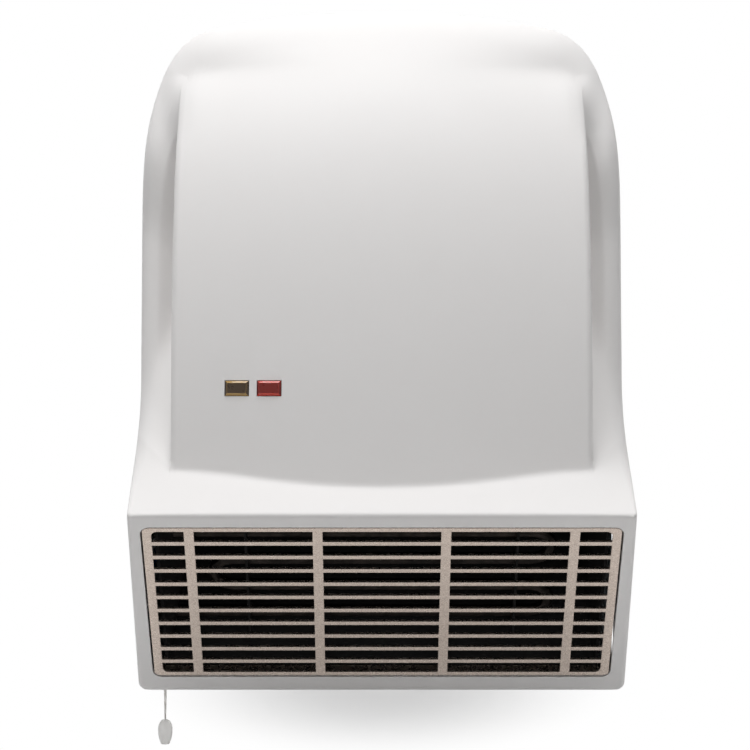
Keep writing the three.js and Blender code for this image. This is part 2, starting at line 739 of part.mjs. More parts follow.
const underside = (d) => BOTTOM + SIDE_DRAFT * d;

const SCREW_X = 70;
const SCREW_DEPTH = 12;
const SCREW_RADIUS = 1.5;
const SCREW_LENGTH = 11;
const SCREW_HEAD = 3;

function makeFrontCasing() {
  const outlet = roundedRectangle(2 * OUTLET_HALF_WIDTH, OUTLET_END - OUTLET_START, OUTLET_CORNER);
  const opening = outletProfile(outlet, -3 * WALL, WALL);
  const windows = [LENS_AMBER_X, LENS_RED_X].map((x) => {
    const window = new THREE.BoxGeometry(LENS_WIDTH + 2 * CLEARANCE, 6 * WALL, LENS_HEIGHT + 2 * CLEARANCE);
    return window.applyMatrix4(panelPlace(x, LENS_Z));
  });
  const slots = Array.from({ length: INLET_SLOTS }, (_, k) => {
    const angle = ((k - (INLET_SLOTS - 1) / 2) * INLET_PITCH) / TOP_RADIUS;
    const slot = new THREE.BoxGeometry(INLET_LENGTH, INLET_WIDTH, 6 * WALL);
    slot.translate(0, -INLET_DEPTH, TOP_RADIUS);
    return slot.rotateY(angle).translate(0, 0, TOP - TOP_RADIUS);
  });
  const through = (x, d, radius) => cylinderZ(radius, BOTTOM - 1, BOTTOM + 3 * WALL, x, d, 16);
  return cut(
    outerBlock,
    innerBlock,
    opening,
    ...windows,
    ...slots,
    through(CORD_X, CORD_DEPTH, BUSH_RADIUS + CLEARANCE),
    through(-SCREW_X, SCREW_DEPTH, SCREW_RADIUS + CLEARANCE),
    through(SCREW_X, SCREW_DEPTH, SCREW_RADIUS + CLEARANCE),
  );
}

const GRILLE_HALF = OUTLET_HALF_WIDTH - GRILLE_GAP;
const GRILLE_HEIGHT = OUTLET_END - OUTLET_START - 2 * GRILLE_GAP;

// One sheet of the grille's slots, and a deeper frame behind its edge.
function makeGrille() {
  const front = -GRILLE_RECESS;
  const outline = () => roundedRectangle(2 * GRILLE_HALF, GRILLE_HEIGHT, OUTLET_CORNER - GRILLE_GAP);
  const innerHalf = GRILLE_HALF - GRILLE_SIDE_FRAME;
  const middle = 2 * (innerHalf - GRILLE_END_COLUMN - GRILLE_POST);
  const wideColumn = (middle - (GRILLE_WIDE_COLUMNS - 1) * GRILLE_POST) / GRILLE_WIDE_COLUMNS;
  const columns = [GRILLE_END_COLUMN, ...Array(GRILLE_WIDE_COLUMNS).fill(wideColumn), GRILLE_END_COLUMN];
  const slotHeight = (GRILLE_HEIGHT - (GRILLE_ROWS + 1) * GRILLE_BAR) / GRILLE_ROWS;
  const middleSlope = (OUTLET_START + OUTLET_END) / 2;
  const slots = [];
  for (let row = 0; row < GRILLE_ROWS; row += 1) {
    const s0 = middleSlope - GRILLE_HEIGHT / 2 + GRILLE_BAR + row * (slotHeight + GRILLE_BAR);
    let x0 = -innerHalf;
    for (const width of columns) {
      slots.push(outletBox(x0, x0 + width, s0, s0 + slotHeight, front - 2 * GRILLE_BAR_DEPTH, front + 1));
      x0 += width + GRILLE_POST;
    }
  }
  const sheet = cut(outletProfile(outline(), front - GRILLE_BAR_DEPTH, front), ...slots);
  const frame = outline();
  const step = 0.6; // the frame's inner edge stands back from the slots
  frame.holes.push(roundedRectangle(2 * (innerHalf + step), GRILLE_HEIGHT - 2 * (GRILLE_BAR - step), 1));
  const seam = 0.2;
  return join(
    sheet,
    outletProfile(frame, front - GRILLE_FRAME_DEPTH, front - GRILLE_BAR_DEPTH + seam),
  );
}

add("front_casing", makeFrontCasing(), casingPlastic);
add("outlet_grille", makeGrille(), satinMetal);

// ---------------------------------------------------------------- neon indicators

const RETAINER_HEIGHT = 15;
const RETAINER_BORDER = 5;

function makeLens(x) {
  const [w, h, b] = [LENS_WIDTH / 2 - LENS_BEVEL, LENS_HEIGHT / 2 - LENS_BEVEL, LENS_BEVEL];
  const face = shapeOf([[-w, -h], [w, -h], [w, h], [-w, h]]);
  const bevel = { bevelThickness: b, bevelSize: b, bevelSegments: 1 };
  const body = new THREE.ExtrudeGeometry(face, { depth: LENS_LENGTH - 2 * b, ...bevel });
  body.applyMatrix4(ALONG_DEPTH).translate(0, LENS_LENGTH - b - LENS_PROUD, 0);
  const depth = LENS_LENGTH - 2 * LENS_WALL;
  const hollow = new THREE.BoxGeometry(LENS_WIDTH - 2 * LENS_WALL, depth, LENS_HEIGHT - 2 * LENS_WALL);
  hollow.translate(0, LENS_LENGTH - LENS_PROUD - depth / 2 + 1, 0);
  return cut(body, hollow).applyMatrix4(panelPlace(x, LENS_Z));
}

function makeLamp(x) {
  const radius = LENS_HEIGHT / 2 - LENS_WALL - CLEARANCE;
  const lamp = new THREE.CylinderGeometry(radius, radius, LAMP_LENGTH, 12);
  const back = LENS_LENGTH - LENS_PROUD;
  return lamp.translate(0, back - LAMP_LENGTH / 2, 0).applyMatrix4(panelPlace(x, LENS_Z));
}

// A spring-steel plate behind the panel that holds both indicators.
function makeRetainer() {
  const middle = (LENS_AMBER_X + LENS_RED_X) / 2;
  const width = LENS_RED_X - LENS_AMBER_X + LENS_WIDTH + 2 * RETAINER_BORDER;
  const plate = new THREE.BoxGeometry(width, SHEET, RETAINER_HEIGHT);
  plate.translate(0, WALL + 3 * CLEARANCE + SHEET / 2, 0).applyMatrix4(panelPlace(middle, LENS_Z));
  const windows = [LENS_AMBER_X, LENS_RED_X].map((x) => {
    const window = new THREE.BoxGeometry(LENS_WIDTH + 2 * CLEARANCE, 6 * WALL, LENS_HEIGHT + 2 * CLEARANCE);
    return window.applyMatrix4(panelPlace(x, LENS_Z));
  });
  return cut(plate, ...windows);
}

add("lens_amber", makeLens(LENS_AMBER_X), amber);
add("lens_red", makeLens(LENS_RED_X), red);
add("neon_lamp_amber", makeLamp(LENS_AMBER_X), glass);
add("neon_lamp_red", makeLamp(LENS_RED_X), glass);
add("lens_retainer", makeRetainer(), galvanised);

// ---------------------------------------------------------------- back plate

const PLATE_FRONT = PLATE_THICKNESS;
const SEAT = PLATE_FRONT + CLEARANCE; // depth of what rests on the plate
const PLATE_GAP = 1.1; // between the plate's edge and the casing
const BOSS_HALF = 5;
const CLAMP_SCREW_X = CLAMP_LENGTH / 2 - 4;
const CLAMP_DEPTH = 11; // of the clamp bar's rear face
const CLAMP_THICKNESS = 4;
const POST_HALF = 3;

function plateOutline() {
  const inset = WALL + PLATE_GAP;
  const radius = BOTTOM_CORNER;
  const x = HALF_WIDTH - inset;
  const z = BOTTOM + inset;
  const shape = new THREE.Shape();
  const right = [];
  for (let k = 0; k <= 16; k += 1) {
    const { point, normal } = upperOutline(k / 16);
    right.push(point.clone().addScaledVector(normal, inset));
  }
  shape.moveTo(-x + radius, z);
  shape.lineTo(x - radius, z);
  shape.absarc(x - radius, z + radius, radius, -Math.PI / 2, 0);
  for (const p of right) shape.lineTo(p.x, p.y);
  for (const p of right.slice(0, -1).reverse()) shape.lineTo(-p.x, p.y);
  shape.lineTo(-x, z + radius);
  shape.absarc(-x + radius, z + radius, radius, Math.PI, 1.5 * Math.PI);
  return shape;
}

function keyhole(x) {
  const slot = KEYHOLE_SLOT / 2;
  const shape = new THREE.Shape();
  const start = Math.asin(KEYHOLE_SLOT / KEYHOLE_HEAD);
  shape.absarc(x, KEYHOLE_Z, KEYHOLE_HEAD / 2, Math.PI / 2 + start, Math.PI / 2 - start + 2 * Math.PI);
  shape.lineTo(x + slot, KEYHOLE_Z + KEYHOLE_LENGTH);
  shape.absarc(x, KEYHOLE_Z + KEYHOLE_LENGTH, slot, 0, Math.PI);
  return depthProfile(shape, -1, PLATE_THICKNESS + 1);
}

function makeBackPlate() {
  const plate = depthProfile(plateOutline(), 0, PLATE_THICKNESS, 4);
  const root = PLATE_FRONT - 0.5;
  const ribs = [-PLATE_RIB_X, PLATE_RIB_X].map((x) =>
    box(x - 1, x + 1, root, PLATE_RIB, PLATE_RIB_BOTTOM, PLATE_RIB_TOP),
  );
  const bosses = [-SCREW_X, SCREW_X].map((x) => {
    const bottom = underside(SCREW_DEPTH + BOSS_HALF) + WALL + CLEARANCE;
    const top = bottom + SCREW_LENGTH;
    const boss = box(x - BOSS_HALF, x + BOSS_HALF, root, SCREW_DEPTH + BOSS_HALF, bottom, top);
    const hole = cylinderZ(SCREW_RADIUS + CLEARANCE, bottom - 1, top + 1, x, SCREW_DEPTH, 12);
    return cut(boss, hole);
  });
  const posts = [-CLAMP_SCREW_X, CLAMP_SCREW_X].map((x) => {
    const centre = TERMINAL_X + x;
    const [z0, z1] = [CLAMP_Z - POST_HALF, CLAMP_Z + POST_HALF];
    return box(centre - POST_HALF, centre + POST_HALF, root, CLAMP_DEPTH - CLEARANCE, z0, z1);
  });
  const screwHoles = [-CLAMP_SCREW_X, CLAMP_SCREW_X].map((x) =>
    cylinderDepth(SCREW_RADIUS + CLEARANCE, root - 1.5, CLAMP_DEPTH + 1, TERMINAL_X + x, CLAMP_Z, 12),
  );
  const past = PLATE_THICKNESS + 1;
  const cableHole = cylinderDepth(CABLE_HOLE / 2, -1, past, CABLE_HOLE_X, CABLE_HOLE_Z, 24);
  const body = join(plate, ...ribs, ...bosses, ...posts);
  return cut(body, keyhole(-KEYHOLE_X), keyhole(KEYHOLE_X), cableHole, ...screwHoles);
}

// A screw from its tip up, with a domed head.
function screw(radius, length, headRadius, headHeight) {
  const points = [
    [0, 0],
    [radius, 0],
    [radius, length],
    [headRadius, length],
    [headRadius, length + headHeight * 0.6],
    [headRadius * 0.6, length + headHeight],
    [0, length + headHeight],
  ];
  return new THREE.LatheGeometry(points.map(([r, y]) => new THREE.Vector2(r, y)), 12);
}

// A screw that goes up through the casing's underside, its head below.
function casingScrew(x) {
  const geometry = screw(SCREW_RADIUS, SCREW_LENGTH, SCREW_HEAD, 1.6);
  const headTop = underside(SCREW_DEPTH - SCREW_HEAD) - CLEARANCE;
  return geometry.rotateX(-Math.PI / 2).translate(x, -SCREW_DEPTH, headTop + SCREW_LENGTH);
}

add("back_plate", makeBackPlate(), galvanised);
add("casing_screw_left", casingScrew(-SCREW_X), darkSteel);
add("casing_screw_right", casingScrew(SCREW_X), darkSteel);

// ---------------------------------------------------------------- cross-flow fan

const HOUSING_LEFT = FAN_LEFT - FAN_GAP - SHEET;
const HOUSING_RIGHT = FAN_RIGHT + FAN_GAP + SHEET;
const SHEET_LEFT = HOUSING_LEFT + SHEET + CLEARANCE;
const SHEET_RIGHT = HOUSING_RIGHT - SHEET - CLEARANCE;
const BUSH_OUTER = 7;

// A thin sheet along a polyline in (d, z), its thickness laid on the right of the way it runs.
function bentSheet(points, x0, x1) {
  const path = points.map(([d, z]) => new THREE.Vector2(d, z));
  const outer = path.map((p, k) => {
    const ahead = path[Math.min(k + 1, path.length - 1)];
    const before = path[Math.max(k - 1, 0)];
    const along = ahead.clone().sub(before).normalize();
    return new THREE.Vector2(p.x + along.y * SHEET, p.y - along.x * SHEET);
  });
  return sideProfile(new THREE.Shape([...path, ...outer.reverse()]), x0, x1);
}

// An end of the fan's housing, which stands on the back plate and has a nose round the cut-off.
function makeSidePlate(x0, holeRadius, screwHoles) {
  const nose = HOUSING_FRONT + 4;
  const outline = [
    [SEAT, HOUSING_BOTTOM],
    [HOUSING_FRONT, HOUSING_BOTTOM],
    [nose, FAN_Z - 8],
    [nose, FAN_Z + 8],
    [FAN_DEPTH + 8, HOUSING_TOP],
    [SEAT, HOUSING_TOP],
  ];
  const holes = screwHoles.map((d) =>
    cylinderX(MOTOR_SCREW_RADIUS + CLEARANCE, x0 - 1, x0 + SHEET + 1, d, FAN_Z, 12),
  );
  const bore = cylinderX(holeRadius, x0 - 1, x0 + SHEET + 1, FAN_DEPTH, FAN_Z);
  return cut(sideProfile(shapeOf(outline), x0, x0 + SHEET), bore, ...holes);
}

// The scroll opens out behind the impeller, from its top to the duct's rear wall.
function makeScroll() {
  const endPoint = [DUCT_REAR + SHEET, HOUSING_BOTTOM + SHEET];
  const endRadius = Math.hypot(endPoint[0] - FAN_DEPTH, endPoint[1] - FAN_Z);
  const endAngle = Math.atan2(endPoint[1] - FAN_Z, endPoint[0] - FAN_DEPTH) + 2 * Math.PI;
  const startAngle = Math.PI * 0.56;
  const startRadius = FAN_RADIUS + SCROLL_START;
  const spiral = Array.from({ length: 15 }, (_, k) => {
    const t = k / 14;
    const angle = mix(startAngle, endAngle, t);
    const radius = mix(startRadius, endRadius, t);
    return [FAN_DEPTH + radius * Math.cos(angle), FAN_Z + radius * Math.sin(angle)];
  });
  const [lipDepth, lipZ] = spiral[0];
  const lip = [
    [lipDepth + 2.5, HOUSING_TOP - 1],
    [lipDepth + 1.5, lipZ + 2],
  ];
  return bentSheet([...lip, ...spiral], SHEET_LEFT, SHEET_RIGHT);
}

// The tongue in front of the impeller, down to the duct's front wall.
function makeCutOff() {
  const running = FAN_RADIUS + SCROLL_START;
  const onCircle = (angle) => [FAN_DEPTH + running * Math.cos(angle), FAN_Z + running * Math.sin(angle)];
  const points = [
    [HOUSING_FRONT - 2 - SHEET, HOUSING_BOTTOM],
    onCircle(-0.5),
    onCircle(-0.38),
    onCircle(-0.24),
    [HOUSING_FRONT + 2, FAN_Z + 6],
  ];
  return bentSheet(points, SHEET_LEFT, SHEET_RIGHT);
}

function makeImpeller() {
  const inner = FAN_RADIUS - FAN_BLADE_WIDTH;
  const blades = Array.from({ length: FAN_BLADES }, (_, k) => {
    const turn = (k / FAN_BLADES) * 2 * Math.PI;
    const arc = [0, 0.5, 1].map((t) => {
      const radius = mix(inner, FAN_RADIUS - 0.5, t);
      const angle = turn + FAN_BLADE_LEAN * t * t * 0.6;
      return new THREE.Vector2(radius * Math.cos(angle), radius * Math.sin(angle));
    });
    const across = new THREE.Vector2(-Math.sin(turn + 0.2), Math.cos(turn + 0.2)).multiplyScalar(FAN_BLADE);
    const back = arc.map((p) => p.clone().add(across)).reverse();
    return sideProfile(new THREE.Shape([...arc, ...back]), FAN_LEFT + 0.4, FAN_RIGHT - 0.4);
  });
  const disc = (x, hole) => {
    const shape = new THREE.Shape();
    shape.absarc(0, 0, FAN_RADIUS, 0, 2 * Math.PI);
    shape.holes.push(new THREE.Path().absarc(0, 0, hole, 0, 2 * Math.PI));
    return sideProfile(shape, x, x + FAN_DISC, 14);
  };
  const bore = SHAFT_RADIUS + CLEARANCE;
  const middle = (FAN_LEFT + FAN_RIGHT - FAN_DISC) / 2;
  const discs = [disc(FAN_LEFT, bore), disc(middle, bore), disc(FAN_RIGHT - FAN_DISC, bore)];
  return join(...discs, ...blades).translate(0, -FAN_DEPTH, FAN_Z);
}

const BUSH_LEFT = HOUSING_LEFT - CLEARANCE - 2;
const SHAFT_LEFT = BUSH_LEFT - SHAFT_OVERHANG / 2;

function makeEndBearing() {
  const flange = cylinderX(BUSH_OUTER + 3, BUSH_LEFT, HOUSING_LEFT - CLEARANCE, FAN_DEPTH, FAN_Z);
  const sleeve = cylinderX(BUSH_OUTER - CLEARANCE, BUSH_LEFT, HOUSING_LEFT + SHEET + 1, FAN_DEPTH, FAN_Z);
  const bore = cylinderX(SHAFT_RADIUS + CLEARANCE, BUSH_LEFT - 1, HOUSING_LEFT + SHEET + 2, FAN_DEPTH, FAN_Z);
  return cut(join(flange, sleeve), bore);
}

// ---------------------------------------------------------------- motor

const STACK_END = MOTOR_START + STACK_LENGTH;
const STACK_BOTTOM = FAN_Z - STACK_DROP;
const STACK_TOP = STACK_BOTTOM + STACK_HEIGHT;
const YOKE = 12;
const WINDOW_BOTTOM = FAN_Z + ROTOR_RADIUS + 5;
const MOTOR_SCREW_OFFSET = STACK_WIDTH / 2 - 4.5;
const motorScrewDepths = [FAN_DEPTH - MOTOR_SCREW_OFFSET, FAN_DEPTH + MOTOR_SCREW_OFFSET];
const INNER_BRACKET = HOUSING_RIGHT + CLEARANCE;
const OUTER_BRACKET = STACK_END + (MOTOR_START - INNER_BRACKET);
const SHAFT_RIGHT = OUTER_BRACKET + SHAFT_OVERHANG;

function makeStack() {
  const half = STACK_WIDTH / 2;
  const block = box(MOTOR_START, STACK_END, FAN_DEPTH - half, FAN_DEPTH + half, STACK_BOTTOM, STACK_TOP);
  const bore = cylinderX(ROTOR_RADIUS + ROTOR_AIR_GAP, MOTOR_START - 1, STACK_END + 1, FAN_DEPTH, FAN_Z, 24);
  const [d0, d1] = [FAN_DEPTH - COIL_HALF_WIDTH, FAN_DEPTH + COIL_HALF_WIDTH];
  const window = box(MOTOR_START - 1, STACK_END + 1, d0, d1, WINDOW_BOTTOM, STACK_TOP - YOKE);
  const holes = motorScrewDepths.map((d) =>
    cylinderX(MOTOR_SCREW_RADIUS + CLEARANCE, MOTOR_START - 1, STACK_END + 1, d, FAN_Z, 12),
  );
  return cut(block, bore, window, ...holes);
}

function makeCoil() {
  const half = COIL_HALF_WIDTH - CLEARANCE;
  const [d0, d1] = [FAN_DEPTH - half, FAN_DEPTH + half];
  const [x0, x1] = [MOTOR_START - COIL_OVERHANG, STACK_END + COIL_OVERHANG];
  const wound = box(x0, x1, d0, d1, WINDOW_BOTTOM + CLEARANCE, STACK_TOP + COIL_HEIGHT);
  const [yokeBottom, yokeTop] = [STACK_TOP - YOKE - CLEARANCE, STACK_TOP + CLEARANCE];
  const [coreStart, coreEnd] = [MOTOR_START - CLEARANCE, STACK_END + CLEARANCE];
  return cut(wound, box(coreStart, coreEnd, d0 - 1, d1 + 1, yokeBottom, yokeTop));
}

// A cross bar with two feet on the stack, which carries one of the rotor's bearings.
function makeMotorBracket(barX, footX0, footX1) {
  const half = STACK_WIDTH / 2 - 1;
  const [z0, z1] = [FAN_Z - BRACKET_HEIGHT / 2, FAN_Z + BRACKET_HEIGHT / 2];
  const bar = box(barX, barX + BRACKET_THICKNESS, FAN_DEPTH - half, FAN_DEPTH + half, z0, z1);
  const foot = 7;
  const feet = [
    box(footX0, footX1, FAN_DEPTH - half, FAN_DEPTH - half + foot, z0, z1),
    box(footX0, footX1, FAN_DEPTH + half - foot, FAN_DEPTH + half, z0, z1),
  ];
  const reach = [Math.min(barX, footX0) - 1, Math.max(barX + BRACKET_THICKNESS, footX1) + 1];
  const bore = cylinderX(SHAFT_RADIUS + CLEARANCE, ...reach, FAN_DEPTH, FAN_Z);
  const holes = motorScrewDepths.map((d) =>
    cylinderX(MOTOR_SCREW_RADIUS + CLEARANCE, ...reach, d, FAN_Z, 12),
  );
  return cut(join(bar, ...feet), bore, ...holes);
}

function makeMotorScrew(d) {
  const end = OUTER_BRACKET + BRACKET_THICKNESS + CLEARANCE;
  const length = end - HOUSING_RIGHT + SHEET;
  const geometry = screw(MOTOR_SCREW_RADIUS, length, MOTOR_SCREW_RADIUS + 1.6, 2.2);
  return geometry.rotateZ(-Math.PI / 2).translate(end - length, -d, FAN_Z);
}

function makeRotor() {
  const body = cylinderX(ROTOR_RADIUS, MOTOR_START, STACK_END, FAN_DEPTH, FAN_Z, 24);
  return cut(body, cylinderX(SHAFT_RADIUS + CLEARANCE, MOTOR_START - 1, STACK_END + 1, FAN_DEPTH, FAN_Z));
}

const innerBracket = makeMotorBracket(INNER_BRACKET, INNER_BRACKET, MOTOR_START - CLEARANCE);
const outerBracketEnd = OUTER_BRACKET + BRACKET_THICKNESS;
const outerBracket = makeMotorBracket(OUTER_BRACKET, STACK_END + CLEARANCE, outerBracketEnd);

add("fan_scroll", makeScroll(), galvanised);
add("fan_cut_off", makeCutOff(), galvanised);
add("fan_side_plate_left", makeSidePlate(HOUSING_LEFT, BUSH_OUTER, []), galvanised);
add("fan_side_plate_right", makeSidePlate(HOUSING_RIGHT - SHEET, BUSH_OUTER, motorScrewDepths), galvanised);
add("fan_impeller", makeImpeller(), galvanised);
add("fan_shaft", cylinderX(SHAFT_RADIUS, SHAFT_LEFT, SHAFT_RIGHT, FAN_DEPTH, FAN_Z), darkSteel);
add("fan_end_bearing", makeEndBearing(), rubber);
add("motor_rotor", makeRotor(), darkSteel);
add("motor_stack", makeStack(), darkSteel);
add("motor_coil", makeCoil(), copper);
add("motor_bracket_inner", innerBracket, galvanised);
add("motor_bracket_outer", outerBracket, galvanised);
add("motor_screw_rear", makeMotorScrew(motorScrewDepths[0]), darkSteel);
add("motor_screw_front", makeMotorScrew(motorScrewDepths[1]), darkSteel);

// ---------------------------------------------------------------- outlet duct and heating element

// The duct as a solid from its top through its waist to its mouth, its sides moved out by grow and
// its ends by reach.
function ductSolid(grow, reach) {
  const level = (z, x0, x1, d0, d1) => [
    at(x0 - grow, d0 - grow, z),
    at(x1 + grow, d0 - grow, z),
    at(x1 + grow, d1 + grow, z),
    at(x0 - grow, d1 + grow, z),
  ];
  const [waistLeft, waistRight] = [DUCT_WAIST_LEFT_ROOM - PANEL_HALF, PANEL_HALF - DUCT_WAIST_RIGHT_ROOM];
  const mouthHalf = OUTLET_HALF_WIDTH - GRILLE_SIDE_FRAME - DUCT_MOUTH_BORDER + grow;
  const mouthBack = -GRILLE_RECESS - GRILLE_FRAME_DEPTH - CLEARANCE + reach;
  const mouthTop = OUTLET_START + DUCT_MOUTH_BORDER - grow;
  const mouthEnd = OUTLET_END - DUCT_MOUTH_BORDER + grow;
  const sections = [
    level(HOUSING_BOTTOM - CLEARANCE + reach, HOUSING_LEFT, HOUSING_RIGHT, DUCT_REAR, HOUSING_FRONT - 2),
    level(LIP_HEIGHT + DUCT_WAIST_RISE, waistLeft, waistRight, DUCT_WAIST_REAR, DUCT_WAIST_FRONT),
    [
      onOutlet(-mouthHalf, mouthEnd, mouthBack),
      onOutlet(mouthHalf, mouthEnd, mouthBack),
      onOutlet(mouthHalf, mouthTop, mouthBack),
      onOutlet(-mouthHalf, mouthTop, mouthBack),
    ],
  ];
  const positions = sections.flat().flatMap((p) => p.toArray());
  const indices = [0, 2, 1, 0, 3, 2, 8, 9, 10, 8, 10, 11];
  for (const first of [0, 4]) {
    for (let k = 0; k < 4; k += 1) {
      const [a, b] = [first + k, first + ((k + 1) % 4)];
      indices.push(a, b + 4, a + 4, a, b, b + 4);
    }
  }
  const geometry = new THREE.BufferGeometry();
  geometry.setAttribute("position", new THREE.Float32BufferAttribute(positions, 3));
  geometry.setIndex(indices);
  return geometry;
}

// A path whose steps fall on chosen stations, each a point and the way the path runs there.
class StationPath extends THREE.Curve {
  constructor(stations) {
    super();
    this.stations = stations;
  }

  stationAt(share) {
    return this.stations[Math.round(share * (this.stations.length - 1))];
  }

  getPointAt(share) {
    return this.stationAt(share).point.clone();
  }

  getTangentAt(share) {
    return this.stationAt(share).along.clone();
  }
}

function stationRod(stations, radius, sides) {
  return rod(new StationPath(stations), radius, stations.length - 1, sides);
}

const ELEMENT_LAST = ELEMENT_FIRST + (ELEMENT_PASSES - 1) * ELEMENT_PITCH;
const ELEMENT_END_X = ELEMENT_END_ROOM - OUTLET_HALF_WIDTH;
const ELEMENT_HALF = OUTLET_HALF_WIDTH - ELEMENT_SIDE_ROOM;
const ELEMENT_BRACKET_X = OUTLET_HALF_WIDTH - ELEMENT_BRACKET_ROOM;

// A sheathed rod that runs to and fro across the outlet, both its ends on the left.
function makeElement() {
  const stations = [];
  const bend = ELEMENT_PITCH / 2;
  const bendSteps = 6;
  const station = (x, s, dx, ds) => {
    const point = onOutlet(x, s, -ELEMENT_BEHIND);
    const along = onOutlet(dx, ds, 0).sub(onOutlet(0, 0, 0)).normalize();
    stations.push({ point, along });
  };
  station(ELEMENT_END_X, ELEMENT_FIRST, 1, 0);
  for (let pass = 0; pass < ELEMENT_PASSES - 1; pass += 1) {
    const way = pass % 2 === 0 ? 1 : -1;
    const s = ELEMENT_FIRST + pass * ELEMENT_PITCH;
    const centreX = way * (ELEMENT_HALF - bend);
    for (let k = 0; k <= bendSteps; k += 1) {
      const angle = (k / bendSteps) * Math.PI;
      const [across, down] = [Math.sin(angle), 1 - Math.cos(angle)];
      station(centreX + way * bend * across, s + bend * down, way * Math.cos(angle), Math.sin(angle));
    }
  }
  station(ELEMENT_END_X, ELEMENT_LAST, -1, 0);
  return stationRod(stations, ELEMENT_RADIUS, 10);
}

function elementPassHoles(x0, x1, passes) {
  return passes.map((pass) => {
    const place = onOutlet(0, ELEMENT_FIRST + pass * ELEMENT_PITCH, -ELEMENT_BEHIND);
    return cylinderX(ELEMENT_RADIUS + CLEARANCE, x0, x1, -place.y, place.z, 16);
  });
}

function makeDuct() {
  const ends = elementPassHoles(-OUTLET_HALF_WIDTH, -OUTLET_HALF_WIDTH / 2, [0, ELEMENT_PASSES - 1]);
  return cut(ductSolid(0, 0), ductSolid(-DUCT_WALL, 1), ...ends);
}

function makeElementBracket(x) {
  const half = SHEET / 2;
  const plate = outletBox(
    x - half,
    x + half,
    OUTLET_START,
    ELEMENT_LAST + 12,
    -ELEMENT_BEHIND - 9,
    -ELEMENT_BEHIND + 9,
  );
  const allPasses = Array.from({ length: ELEMENT_PASSES }, (_, k) => k);
  const inside = ductSolid(-DUCT_WALL - CLEARANCE, 1);
  return cut(shared(plate, inside), ...elementPassHoles(x - 3, x + 3, allPasses));
}

const CUTOUT_DEPTH = FAN_DEPTH + 14;
const CUTOUT_Z = -12;
const CUTOUT_LENGTH = 9;
const CUTOUT_OUTER = HOUSING_LEFT - CLEARANCE - CUTOUT_LENGTH;

add("outlet_duct", makeDuct(), darkSteel);
add("heating_element", makeElement(), darkSteel);
add("element_bracket_left", makeElementBracket(-ELEMENT_BRACKET_X), galvanised);
add("element_bracket_right", makeElementBracket(ELEMENT_BRACKET_X), galvanised);
add(
  "thermal_cutout",
  cylinderX(CUTOUT_RADIUS, CUTOUT_OUTER, HOUSING_LEFT - CLEARANCE, CUTOUT_DEPTH, CUTOUT_Z),
  blackPlastic,
);

// ---------------------------------------------------------------- pull switch and cord

const CASING_FLOOR = underside(CORD_DEPTH) + WALL; // inner face above the cord's hole
const TOGGLE_TOP = underside(CORD_DEPTH) - CORD_BELOW;
const BUSH_LIFT = 2 * SIDE_DRAFT * BUSH_FLANGE; // clears the slope of the casing's underside
const BUSH_SEAT = CASING_FLOOR + BUSH_LIFT + CLEARANCE;
const BUSH_RING = 1.1;
const PLUNGER_BOTTOM = BUSH_SEAT + BUSH_RING + PULL_TRAVEL + PULL_SPARE;
const CORD_TOP = PLUNGER_BOTTOM - CLEARANCE;
const BODY_BOTTOM = PLUNGER_BOTTOM + 4;
const BODY_TOP = BODY_BOTTOM + SWITCH_HEIGHT + PULL_TRAVEL;
const CHAMBER_BOTTOM = BODY_BOTTOM + SWITCH_WALL;
const CHAMBER_TOP = BODY_TOP - SWITCH_WALL;
const COLLAR = 3;
const COLLAR_TOP = CHAMBER_TOP - 1;
const COLLAR_BOTTOM = COLLAR_TOP - COLLAR;
const CHAMBER_RADIUS = SPRING_RADIUS + SPRING_WIRE + 0.8;

function makeSwitchBody() {
  const x = [CORD_X - SWITCH_HALF_WIDTH, CORD_X + SWITCH_HALF_WIDTH];
  const body = box(...x, SEAT, CORD_DEPTH + SWITCH_HALF_DEPTH, BODY_BOTTOM, BODY_TOP);
  const chamber = cylinderZ(CHAMBER_RADIUS, CHAMBER_BOTTOM, CHAMBER_TOP, CORD_X, CORD_DEPTH, 20);
  const bore = PLUNGER_RADIUS + CLEARANCE;
  const guide = cylinderZ(bore, BODY_BOTTOM - 1, CHAMBER_BOTTOM + 1, CORD_X, CORD_DEPTH, 20);
  return cut(body, chamber, guide);
}

function makePlunger() {
  const profile = [
    [0, PLUNGER_BOTTOM],
    [PLUNGER_RADIUS, PLUNGER_BOTTOM],
    [PLUNGER_RADIUS, COLLAR_BOTTOM],
    [SPRING_RADIUS + SPRING_WIRE, COLLAR_BOTTOM],
    [SPRING_RADIUS + SPRING_WIRE, COLLAR_TOP],
    [0, COLLAR_TOP],
  ].map(([r, z]) => new THREE.Vector2(r, z));
  return new THREE.LatheGeometry(profile, 16).rotateX(Math.PI / 2).translate(CORD_X, -CORD_DEPTH, 0);
}

// The return spring between the chamber's floor and the plunger's collar.
function makeSpring() {
  const start = CHAMBER_BOTTOM + CLEARANCE + SPRING_WIRE;
  const end = COLLAR_BOTTOM - CLEARANCE - SPRING_WIRE;
  const steps = SPRING_TURNS * 8;
  const middle = SPRING_RADIUS - SPRING_WIRE;
  const rise = (end - start) / (SPRING_TURNS * 2 * Math.PI);
  const stations = Array.from({ length: steps + 1 }, (_, k) => {
    const angle = (k / 8) * 2 * Math.PI;
    const [across, behind] = [middle * Math.cos(angle), middle * Math.sin(angle)];
    const point = vec(CORD_X + across, -CORD_DEPTH + behind, mix(start, end, k / steps));
    return { point, along: vec(-behind, across, rise).normalize() };
  });
  return stationRod(stations, SPRING_WIRE, 5);
}

